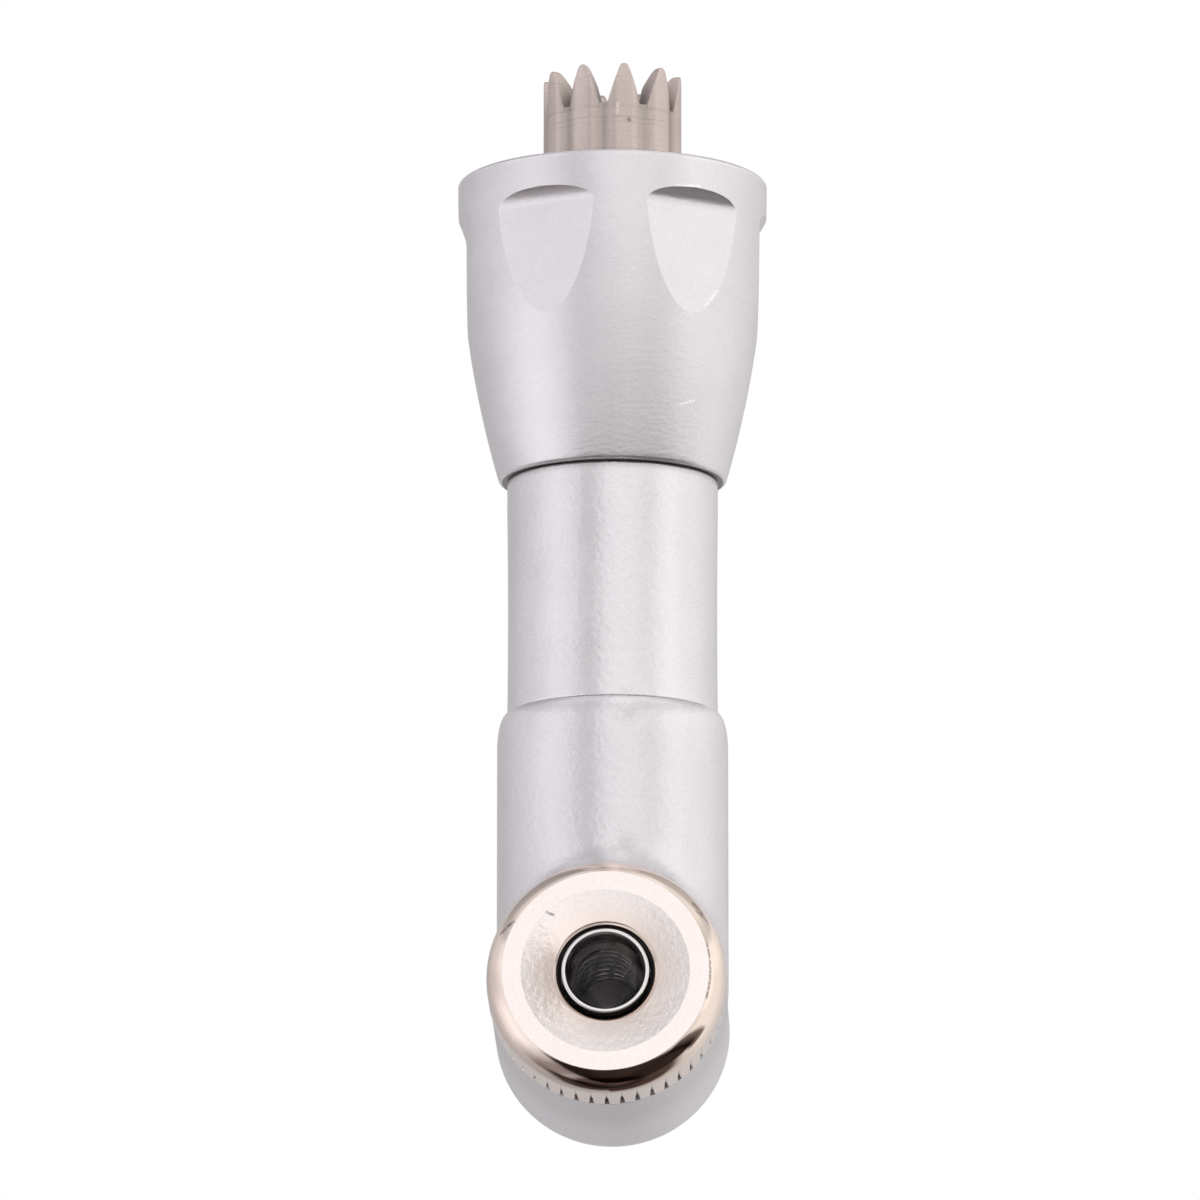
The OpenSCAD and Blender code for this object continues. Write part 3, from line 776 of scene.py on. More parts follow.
FINISHES = {finish.name: finish for finish in (
    Finish("head_satin", (0.82, 0.79, 0.81), (0.87, 0.84, 0.855), rough=0.30, metal=0.85, grain=2.4,
           mottle=9.0, speck=0.03, scratch=0.3, rubbed=0.5, dirt_and_shade=0.3),
    Finish("neck_satin", (0.83, 0.80, 0.82), (0.88, 0.85, 0.865), rough=0.28, metal=0.85, grain=2.6,
           mottle=7.0, speck=0.03, scratch=0.6, rubbed=0.6, dirt_and_shade=0.3),
    Finish("nut_satin", (0.81, 0.78, 0.80), (0.86, 0.83, 0.845), rough=0.33, metal=0.85, grain=1.6,
           grain_scale=8000.0, stretch=1.8, mottle=5.5, speck=0.03, marks=0.5, scratch=0.35, rubbed=0.6,
           dirt_and_shade=0.3, knocks=(
               Knock((6.31, -48.5, 2.74), (6.40, -42.9, 3.49), 0.11),
               Knock((5.53, -56.5, -1.56), (5.59, -49.5, -1.35), 0.11),
               Knock((6.69, -63.5, 7.74), (6.71, -54.0, 7.82), 0.13),
               Knock((6.70, -60.5, 7.62), (6.70, -57.5, 7.62), 0.1, bare=False))),
    Finish("cap_rose", (0.93, 0.865, 0.84), (0.96, 0.91, 0.89), rough=0.22, polished=0.045, grain=2.0,
           speck=0.035, marks=1.2, marks_scale=14000.0, scratch=0.3, rubbed=0.2, dirt_and_shade=0.6,
           lay=Lay.FACED, axis=Axis.HEAD, blush=(0.90, 0.765, 0.68), knocks=(
               Knock((3.55, 133.0, 9.10), (3.50, 135.0, 9.09), 0.11),
               Knock((3.60, 134.0, 9.10), (3.30, 132.0, 9.07), 0.1, bare=False),
               Knock((4.80, 39.0, 8.81), (4.84, 31.0, 8.77), 0.2, bare=False),
               Knock((4.70, 34.0, 8.92), (4.90, 27.0, 8.68), 0.12, bare=False),
               Knock((4.80, 159.0, 8.81), (4.47, 151.0, 9.08), 0.14, bare=False),
               # the next three dark marks, along the face's edge on the right, are a painted dark reflection
               # line
               Knock((4.45, -16.0, 9.09), (4.45, -5.0, 9.09), 0.1, bare=False),
               Knock((4.45, -5.0, 9.09), (4.45, 6.0, 9.09), 0.1, bare=False),
               Knock((4.45, 6.0, 9.09), (4.45, 17.0, 9.09), 0.09, bare=False))),
    Finish("spindle_steel", (0.70, 0.69, 0.68), (0.78, 0.77, 0.76), rough=0.22, polished=0.08,
           grain=0.4, marks=0.8, rubbed=0.4, dirt_and_shade=0.5, axis=Axis.HEAD),
    Finish("crown_steel", (0.67, 0.565, 0.52), (0.76, 0.655, 0.61), rough=0.40, metal=0.9, grain=1.0,
           speck=0.03, marks=2.6, marks_scale=6000.0, lines=0.2, rubbed=0.4, dirt_and_shade=0.6, knocks=(
               Knock((3.0, -83.4, 12.15), (3.0, -84.3, 11.75), 0.12),
               Knock((3.0, -74.4, 11.48), (3.0, -74.0, 11.44), 0.13, bare=False))),
    Finish("gear_steel", (0.55, 0.55, 0.56), (0.62, 0.61, 0.61), rough=0.34, grain=0.8, marks=1.0, dirt_and_shade=0.4),
    Finish("shaft_steel", (0.58, 0.58, 0.59), (0.66, 0.65, 0.65), rough=0.25, grain=0.4, marks=1.0, dirt_and_shade=0.4),
    Finish("bearing_steel", (0.66, 0.66, 0.67), (0.72, 0.72, 0.73), rough=0.14, grain=0.2, marks=0.4),
    Finish("bronze", (0.62, 0.40, 0.18), (0.70, 0.48, 0.25), rough=0.36, grain=0.9, marks=0.8),
    Finish("washer_steel", (0.60, 0.60, 0.61), (0.68, 0.67, 0.67), rough=0.3, grain=0.7, marks=0.5,
           lay=Lay.FACED),
    Finish("pin_steel", (0.58, 0.57, 0.57), (0.66, 0.65, 0.64), rough=0.28, grain=0.5, marks=0.8,
           rubbed=0.4, dirt_and_shade=0.4),
    Finish("seal_rubber", (0.020, 0.018, 0.017), (0.032, 0.028, 0.027), rough=0.55, metal=0.0,
           grain=3.0, grain_scale=7000.0, dirt_and_shade=0.2))}


# ---- workshop ----


class Workshop:
    """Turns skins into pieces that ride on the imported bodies."""

    def __init__(self) -> None:
        """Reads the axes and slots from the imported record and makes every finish."""
        record = frame["record"]
        spin = next(j for j in record["behaviour"]["joints"] if j["name"] == "spindle_spin")
        head = placement_on(np.array(spin["pos_m"]) / MM, spin["axis"])
        self.axes = {Axis.NECK: placement_on(), Axis.HEAD: head}
        self.slot_of = {row["node"]: row["material_slot"] for row in record["subparts"]}
        self.body_of = {node: body for body, nodes in record["behaviour"]["bodies"].items() for node in nodes}
        effects = Effects()
        self.materials = {slot: finish.build(effects, self.axes) for slot, finish in FINISHES.items()}
        self.done: set[str] = set()

    def mesh(self, name: str, skin: Skin, place: Placement) -> bpy.types.Mesh:
        """Makes the mesh of a skin at its place.

        Args:
            name: name of the mesh.
            skin: the grid.
            place: the axes that it is drawn on.

        Returns:
            The mesh in metres, with its polish and shade stored where the skin has them.
        """
        points, quads, tris = skin.cells()
        made = mesh_from(name, place.put(points) * MM, quads, tris)
        for label, given in (("polish", skin.polish), ("shade", skin.shade)):
            if given is not None:
                store(made, label, skin.spread(given))
        return made

    def add(self, name: str, node: str, place: Placement, skin: Skin) -> None:
        """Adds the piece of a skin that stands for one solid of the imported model."""
        self.finish(show(name, self.mesh(name, skin, place)), node)

    def turn(self, name: str, node: str, place: Placement, corners: Corners,
             steps: int = 5, columns: int = 96, solid: bool = False) -> None:
        """Adds a piece turned from a profile, which ends on its axis where the piece is solid."""
        profile = rounded(corners, steps, closed=not solid)
        self.add(name, node, place, Skin(turned(profile, columns), loop=not solid))

    def finish(self, piece: bpy.types.Object, node: str) -> None:
        """Marks a piece's bends, dresses it and hangs it on its body in place of a solid.

        Args:
            piece: the piece.
            node: the solid's node, which gives its body and its material slot.
        """
        mark_bends(piece.data)
        piece.data.materials.clear()
        piece.data.materials.append(self.materials[self.slot_of[node]])
        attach(piece, self.body_of[node])
        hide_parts(node)
        self.done.add(node)
        log.info("%s: %d faces, stands for %s", piece.name, len(piece.data.polygons), node)

    def dress(self, node: str) -> None:
        """Gives a solid that stays in view the material of its slot.

        Args:
            node: the solid's node.
        """
        solid = frame["nodes"][node]
        material = self.materials[self.slot_of[node]]
        if not solid.material_slots:
            solid.data.materials.append(material)
        for slot in solid.material_slots:
            slot.material = material
        log.info("%s keeps its solid, in %s", node, material.name)


# ---- the nut ----


@dataclass
class CouplingNut:
    """Captive nut: one full curve from foot to rim, finger flats under a ledge, thread inside."""

    rim_d: float = 13.41
    foot_d: float = 9.8
    curve: float = 2.12
    length: float = 13.2
    foot_z: float = -4.0
    flats: int = 6
    across: float = 12.5
    turn: float = 5.0
    flat_from: float = -2.0
    ledge_out: float = 7.75
    ledge_in: float = 6.95
    rim_round: float = 0.1
    foot_round: float = 0.12
    thread_r: float = 5.0
    thread_depth: float = 0.3
    thread_half: float = 0.188
    thread_flank: float = 0.138
    thread_low: float = 1.0
    pitch: float = 0.75
    relief_r: float = 5.35
    chamber_top: float = -0.8
    lip_top: float = -2.2
    lip_bore: float = 3.95
    chamber_r: float = 4.75

    @property
    def top(self) -> float:
        """Height of the rim."""
        return self.foot_z + self.length

    @property
    def half(self) -> float:
        """Half the angle from one flat to the next, in degrees."""
        return 180.0 / self.flats

    def barrel(self, z: Array) -> Array:
        """Side radius: foot + (rim - foot) (1 - (1 - u) to the power curve), u the share of the length."""
        u = np.clip((z - self.foot_z) / self.length, 0.0, 1.0)
        return (self.foot_d + (self.rim_d - self.foot_d) * (1 - (1 - u) ** self.curve)) / 2

    def cut(self, z: Array) -> Array:
        """Distance of a flat from the axis; above it the cutter's round nose leaves a hollow ledge.

        The ledge is an arc that leaves the flat smoothly: cut + radius - sqrt(radius squared - rise
        squared).

        Args:
            z: heights.

        Returns:
            Distance at each of them.
        """
        high, deep = self.ledge_out - self.ledge_in, (self.rim_d - self.across) / 2
        radius = (high ** 2 + deep ** 2) / (2 * deep)
        rise = np.clip(z - self.ledge_in, 0.0, high)
        over = np.maximum(z - self.ledge_out, 0.0)
        return self.across / 2 + radius - np.sqrt(radius ** 2 - rise ** 2) + 2 * over

    def edge_angle(self, z: Array) -> Array:
        """Half the angle that a flat takes at each height: arccos(cut / barrel), in degrees."""
        return np.degrees(np.arccos(np.minimum(self.cut(z) / self.barrel(z), 1.0)))

    def columns(self, z: Array, soft: float = 0.35, fade: float = 0.9) -> Array:
        """Angles of the grid's columns, which follow the flats' edges from row to row.

        Half a sector is shared as 8 steps inside the edge, 4 close steps across it and 8 outside.
        Where a row has no flat, the edge's columns drift back to a third of the sector.

        Args:
            z: heights of the rows.
            soft: half width of the four close steps in degrees.
            fade: height over which the edge's columns drift back, in millimetres.

        Returns:
            Angles in radians (rows, columns).
        """
        dense = np.linspace(self.foot_z, self.top, 1200)
        flat = dense[self.edge_angle(dense) > 0]
        away = np.maximum(np.maximum(flat[0] - z, z - flat[-1]), 0.0)
        drift = soft * 2.4 + (self.half / 3) * (1 - np.exp(-away / fade))
        edge, steps = np.maximum(self.edge_angle(z), drift)[:, None], np.linspace(0, 1, 9)
        sector = both_sides(np.concatenate([
            (edge - soft) * steps, edge + soft * np.array([-0.5, 0.0, 0.5, 1.0]),
            (edge + soft) + (self.half - edge - soft) * steps[1:]], axis=1))
        starts = self.turn + 2 * self.half * np.arange(self.flats)
        return np.radians((starts[:, None] + sector[:, None]).reshape(len(z), -1))

    def outside(self) -> tuple[Array, Array]:
        """Side of the nut from foot to rim: the lesser of the barrel and the flats' cut / cos(angle).

        Returns:
            Grid, and the shade that gathers under the ledges.
        """
        share = (self.across - self.foot_d) / (self.rim_d - self.foot_d)
        tip = self.foot_z + self.length * (1 - (1 - share) ** (1 / self.curve))
        top, foot = self.ledge_out - GUARD, self.foot_z + self.foot_round
        z = np.concatenate([
            self.foot_z + self.foot_round * (1 - np.cos(np.linspace(0, np.pi / 2, 6)[:-1])),
            np.linspace(foot, tip, 30, endpoint=False),
            tip + (self.ledge_in - tip) * np.linspace(0, 1, 30)[:-1] ** 2 * 0.985,
            self.ledge_in + np.array([-0.04, -0.015, 0.0, 0.015, 0.04]),
            top - (top - self.ledge_in - 0.07) * np.linspace(1, 0, 18) ** 2,
            np.linspace(self.ledge_out, self.top - self.rim_round, 9)])
        angle, half = self.columns(z), np.radians(self.half)
        beside = np.mod(angle - np.radians(self.turn) + half, 2 * half) - half
        low = np.clip((foot - z) / self.foot_round, 0, 1)
        side = (self.barrel(z) - self.foot_round * (1 - np.sqrt(1 - low ** 2)))[:, None]
        flat = np.where(z > self.flat_from, self.cut(z), np.inf)[:, None] / np.cos(beside)
        under = smoothstep(z, self.ledge_in + 0.15, self.ledge_out)[:, None] * (flat < side + 0.002)
        return polar(np.minimum(side, flat), angle, z[:, None]), 0.02 * under

    def inside(self) -> Array:
        """Rim, thread, chamber and lip: radius = the profile's + the thread's depth times wound().

        Returns:
            Grid.
        """
        top, low, lip, foot = self.top, self.chamber_top, self.lip_top, self.foot_z
        relief, thread, chamber, bore = self.relief_r, self.thread_r, self.chamber_r, self.lip_bore
        rim = rounded([(self.rim_d / 2, top, self.rim_round), (relief + 0.35, top, 0.06),
                       (relief, top - 0.35, 0.05), (relief, top - 1.2, 0.05), (thread, top - 1.6, 0.03),
                       (thread, self.thread_low - 0.1, 0), (thread, low, 0.05), (chamber, low, 0.03),
                       (chamber, lip, 0.15), (bore, lip, 0.04), (bore, foot, 0.05),
                       (self.foot_d / 2 - self.foot_round, foot, 0)], 7)[2:-1]
        first = int(np.argmin(np.abs(rim[:, 1] - (top - 1.63)) + 9 * (rim[:, 0] < thread - 0.01))) + 1
        lower = rim[first:]
        profile = np.concatenate([rim[:first], thread_rows(thread, top - 1.68, self.thread_low),
                                  lower[lower[:, 1] < self.thread_low - 0.05]])
        z, angle = profile[:, 1:], self.columns(np.array([top]))
        ends = (smoothstep(z, self.thread_low, self.thread_low + 0.25)
                * (1 - smoothstep(z, top - 1.8, top - 1.65)))
        groove = self.thread_depth * wound(z, angle, self.pitch, self.thread_half, self.thread_flank)
        return polar(profile[:, :1] + groove * ends, angle, z)

    def build(self, shop: Workshop) -> None:
        """Makes the nut.

        Args:
            shop: makes and dresses the pieces.
        """
        (outer, under), inner = self.outside(), self.inside()
        # painted shade under the ledges, and painted shade deepening down the bore inside the nut
        shade = np.concatenate([under, 0.75 * smoothstep(inner[..., 2], self.top, self.top - 4.0)])
        shop.add("nut_shell", "coupling_nut", shop.axes[Axis.NECK],
                 Skin(np.concatenate([outer, inner]), shade=shade))


# ---- the neck ----


@dataclass
class Neck:
    """Neck tube with its slight waist, the driving unit's seat and the pin that indexes it."""

    neck_d: float = 9.1
    waist: float = 0.04
    waist_z: float = -10.4
    waist_half: float = 5.0
    joint_z: float = -14.3
    root_z: float = -19.6
    top_z: float = -4.012
    top_round: float = 0.08
    root_d: float = 7.8
    stem_d: float = 7.8
    spigot_d: float = 7.2
    spigot_len: float = 4.3
    bore_d: float = 4.8
    bearing_d: float = 6.0
    bearing_z: float = 1.6
    bearing_w: float = 2.0
    clip_w: float = 0.3
    collar_d: float = 9.8
    barb: float = 0.25
    collar_low: float = -1.8
    washer_low: float = -2.1
    pin_d: float = 0.4

    def tube(self) -> Skin:
        """Tube turned from a closed profile, whose side draws in by a parabola in height.

        It draws in by waist (1 - (z - waist_z) squared over waist_half squared), and never below 0.

        Returns:
            The tube.
        """
        bore, root, wide, stem = halves(self.bore_d, self.root_d, self.neck_d, self.stem_d)
        spigot, seat = halves(self.spigot_d, self.bearing_d)
        end, joint, top, low = self.root_z, self.joint_z, self.top_z, self.bearing_z
        clip = low + self.bearing_w
        side = np.append(np.linspace(joint + 0.3, top - 0.4, 24), top - np.array([0.3, 0.2, 0.12]))
        draw = self.waist * np.clip(1 - ((side - self.waist_z) / self.waist_half) ** 2, 0, 1)
        profile = rounded([
            (bore, end, 0.05), (root, end, 0.1), (root, joint - 1.5, 0.03), (root - 0.5, joint - 1.5, 0.05),
            (root - 0.5, joint - 0.9, 0.05), (root, joint - 0.9, 0.03), (root, joint + 0.02, 0),
            (wide, joint + 0.02, 0.05), *((wide - d, z, 0) for d, z in zip(draw, side)),
            (wide, top, self.top_round), (stem, top, 0.05), (stem, 0, 0.03), (spigot, 0, 0.08),
            (spigot, self.spigot_len, 0.2), (seat, self.spigot_len, 0.05), (seat, clip + self.clip_w, 0.02),
            (seat + 0.2, clip + self.clip_w, 0.03), (seat + 0.2, clip, 0.03), (seat, clip, 0.02),
            (seat, low, 0.03), (bore, low, 0.05)])
        # painted shadow on the neck just under the nut
        under_nut = smoothstep(profile[:, 1], top - 0.4, top) * (profile[:, 0] > stem)
        return Skin(turned(profile, 160), shade=0.35 * under_nut)

    def build(self, shop: Workshop) -> None:
        """Makes the tube, the seat collar, the thrust washer and the index pin.

        Args:
            shop: makes and dresses the pieces.
        """
        axis = shop.axes[Axis.NECK]
        shop.add("neck_sleeve", "neck_tube", axis, self.tube())
        stem, brim, pin = halves(self.stem_d, self.collar_d, self.pin_d)
        barb, low, under = brim - self.barb, self.collar_low, self.washer_low
        shop.turn("seat_ring", "seat_collar", axis, [
            (stem, low, 0.03), (barb, low, 0.06), (barb, -0.6, 0.04), (brim, -0.6, 0.06), (brim, 0, 0.1),
            (stem, 0, 0.02)], 6, 128)
        shop.turn("thrust_ring", "thrust_washer", axis, [
            (stem, under, 0.04), (barb, under, 0.07), (barb, low, 0.07), (stem, low, 0.04)], 6)
        shop.turn("index_peg", "index_pin", placement_on((0, barb - 0.08 - pin, 0)), [
            (0, -1.4, 0), (pin, -1.4, 0.05), (pin, 0.65, 0.08), (pin / 2, 0.8, 0.05), (0, 0.8, 0)],
            columns=32, solid=True)


# ---- the head ----


def stepped(radii: Sequence[float], heights: Sequence[float]) -> Array:
    """Profile of a stepped bore, closed on its axis: each radius runs from one height to the next."""
    return np.stack([np.concatenate([[0], np.repeat(radii, 2), [0]]), np.repeat(heights, 2)], axis=1)


@dataclass
class HeadShell:
    """Head housing: an upright round body that runs softly into the round barrel across it."""

    body_d: float = 9.94
    neck_d: float = 9.1
    barrel_d: float = 10.02
    drop: float = 13.8
    shoulder: float = 1.5
    joint_z: float = -14.3
    cap_back: float = 6.25
    thread_front: float = 8.0
    thread_d: float = 8.8
    dome: float = 3.1
    knee_rise: float = 2.0
    knee: float = 5.6
    saddle: float = 3.2
    crease: float = 1.6
    bearing_up: float = 5.6
    root_d: float = 7.8
    bearing_d: float = 7.0
    bearing_w: float = 2.0
    pinion_r: float = 2.6
    pinion_floor: float = 1.95
    chamber_r: float = 3.2
    bush_r: float = 1.5
    bush_back: float = -2.4
    bush_front: float = -0.9
    rear_bearing: float = 3.0
    columns: int = 208
    halvings: int = 34

    def depth(self, p: Array, axis: Placement) -> Array:
        """How far points lie outside the head, below zero inside it.

        The body is a rod round the neck's axis that swells below a shoulder. The barrel is one round
        the spindle's axis. The two are joined by a soft minimum: the lesser one, less
        (soft - difference) cubed over 6 soft squared wherever they differ by less than soft. That
        width is the saddle's above the barrel and the crease's below, and nothing where the two
        surfaces run level with each other.

        Args:
            p: points in millimetres (..., 3).
            axis: the spindle's axes.

        Returns:
            Signed distance, near enough for the surface to be found.
        """
        out, local = p - axis.origin, axis.local(p)
        rise, ring = out[..., 2], np.hypot(p[..., 0], p[..., 1])
        swell = np.sqrt(1 - (1 - np.clip((self.drop - rise) / self.shoulder, 0, 1)) ** 2)
        wide = (self.neck_d + (self.body_d - self.neck_d) * swell) / 2
        post = self.rod(ring, rise - self.knee_rise, wide, self.knee)
        hoop = np.hypot(local[..., 0], local[..., 1])
        barrel = self.rod(hoop, local[..., 2], self.barrel_d / 2, self.dome)
        out = out - local[..., 2:] * axis.along
        level = (p[..., 0] * out[..., 0] + p[..., 1] * out[..., 1]) / np.maximum(ring * hoop, 1e-6)
        soft = self.crease + (self.saddle - self.crease) * smoothstep(rise, 0.0, 3.0)
        soft = soft * (1 - level ** 2) + 1e-3
        near = np.maximum(soft - np.abs(post - barrel), 0.0) / soft
        return np.minimum(post, barrel) - near ** 3 * soft / 6

    @staticmethod
    def rod(ring: Array, along: Array, wide: Array, deep: float) -> Array:
        """Distance from a round rod that ends in half an ellipsoid.

        Beside the rod it is ring - wide. Beyond its end it is k (k - 1) / g, k being the length with
        both sizes scaled to one and g its gradient's.

        Args:
            ring: distance from the rod's axis.
            along: distance from the end's widest part, below zero beyond it.
            wide: radius of the rod.
            deep: length of the end.

        Returns:
            Signed distance.
        """
        k = np.hypot(ring / wide, along / deep)
        g = np.hypot(ring / wide ** 2, along / deep ** 2)
        return np.where(along < 0, k * (k - 1) / np.maximum(g, 1e-9), ring - wide)

    def shell(self, axis: Placement) -> Skin:
        """Outside of the head as sections carried along a bent line.

        The line runs down the neck's axis, round a bend whose centre lies in front of the neck and
        above the barrel, and out along the spindle's axis. In each section rays leave the line at
        equal angles, and halving steps find where depth() changes sign on them.

        Args:
            axis: the spindle's axes.

        Returns:
            The closed shell, with the cap's threaded spigot in front.
        """
        start, ahead = axis.origin, axis.along
        bend = math.pi - math.acos(ahead[2])
        radius = self.cap_back / math.tan(bend / 2)
        top = self.joint_z - start[2]
        ease = 1 - np.cos(np.linspace(0.0, np.pi / 2, 14)[:-1])
        fall = np.concatenate([top - self.shoulder * ease - 0.004,
                               np.linspace(top - self.shoulder, self.cap_back, 32, endpoint=False)])
        swing = np.linspace(0.0, bend, 120)
        swing[-1] -= 1e-4
        turn = np.stack([0 * swing, np.cos(swing), -np.sin(swing)], -1)
        away = np.concatenate([np.tile([0.0, 1.0, 0.0], (len(fall), 1)), turn])
        spine = start + np.concatenate([np.stack([0 * fall, 0 * fall, fall], -1),
                                        [0.0, -radius, self.cap_back] + turn * radius])
        a = np.linspace(0.0, 2 * np.pi, self.columns, endpoint=False)[:, None]
        ray = np.cos(a) * [1.0, 0.0, 0.0] - np.sin(a) * away[:, None]
        straight = np.arange(len(spine))[:, None] < len(fall)
        centre = (radius - 0.02) / np.maximum(np.sin(a[:, 0]), 1e-3)
        near, far = np.zeros(ray.shape[:2]), np.where(straight, 9.0, np.minimum(centre, 13.0))
        for _ in range(self.halvings):
            middle = (near + far) / 2
            out = self.depth(spine[:, None] + middle[..., None] * ray, axis) > 0
            near, far = np.where(out, near, middle), np.where(out, middle, far)
        side = spine[:, None] + near[..., None] * ray
        lid, face = start + [0, 0, top], start + ahead * self.cap_back
        spigot = start + ahead * (self.thread_front - 0.05)
        neck, wide, thread = halves(self.neck_d, self.barrel_d, self.thread_d)
        side[-1] = face - ahead * 0.06 + (wide - 0.01) * ray[-1]
        back = [lid + r * ray[0] for r in (0.0, 4.2, neck - 0.06, neck - 0.03)]
        front = [at + r * ray[-1] for at, r in ((face, wide - 0.08), (face, wide - 0.12), (face, thread),
                                                (spigot, thread), (spigot, 3.9), (spigot, 0.0))]
        return Skin(np.concatenate([back, side, front])[::-1], loop=False)

    def shadow(self, p: Array, axis: Placement) -> Array:
        """Shade that gathers in the corner between the body and the cap.

        It fades over 1.5 mm away from the barrel's surface and over 3 mm back along the barrel, and
        is three times as strong above the barrel as below it.

        Args:
            p: points in millimetres (n, 3).
            axis: the spindle's axes.

        Returns:
            Shade of each point (n,).
        """
        across, up, along = axis.local(p).T
        off = np.hypot(across, up) - self.barrel_d / 2
        close = smoothstep(off, 1.5, 0.0) * smoothstep(along, 1.5, 4.5)
        return 0.42 * close * (0.33 + 0.67 * smoothstep(up, -1.0, 2.0))

    def bores(self, axis: Placement) -> list[tuple[Array, Placement]]:
        """Profiles of the two stepped bores, and the axes that they are turned on.

        Args:
            axis: the spindle's axes.

        Returns:
            The drive's bore from below upwards, then the spindle's from behind forwards.
        """
        seat, low = self.bearing_d / 2, axis.origin[2] + self.bearing_up
        drive = stepped([self.pinion_r, seat - 0.5, seat, self.root_d / 2],
                        [axis.origin[2] + self.pinion_floor, low - 0.4, low, low + self.bearing_w,
                         self.joint_z + 1])
        spindle = stepped([self.bush_r, self.chamber_r, seat],
                          [self.bush_back, self.bush_front, self.rear_bearing, 10])
        return [(drive, placement_on()), (spindle, axis)]

    def build(self, shop: Workshop) -> None:
        """Makes the shell and cuts the two stepped bores out of it.

        Args:
            shop: makes and dresses the pieces.
        """
        axis = shop.axes[Axis.HEAD]
        shell = show("head_shell", shop.mesh("head_shell", self.shell(axis), placement_on()))
        whole, tools = shell.data, []
        for k, (profile, place) in enumerate(self.bores(axis)):
            grid = turned(profile, BORE_COLUMNS, 0.01 + 0.007 * k)
            tools.append(show(f"bore_{k}", shop.mesh(f"bore_{k}", Skin(grid, loop=False), place)))
            cut = shell.modifiers.new(f"bore_{k}", "BOOLEAN")
            cut.operation, cut.solver, cut.object = "DIFFERENCE", "EXACT", tools[-1]
        solved = shell.evaluated_get(bpy.context.evaluated_depsgraph_get())
        shell.data = bpy.data.meshes.new_from_object(solved)
        shell.modifiers.clear()
        bpy.data.meshes.remove(whole)
        for tool in tools:
            bpy.data.objects.remove(tool)
        smooth(shell.data)
        store(shell.data, "shade", self.shadow(fetch(shell.data.vertices, "co", 3) / MM, axis))
        shop.finish(shell, "head_housing")


# ---- the cap ----


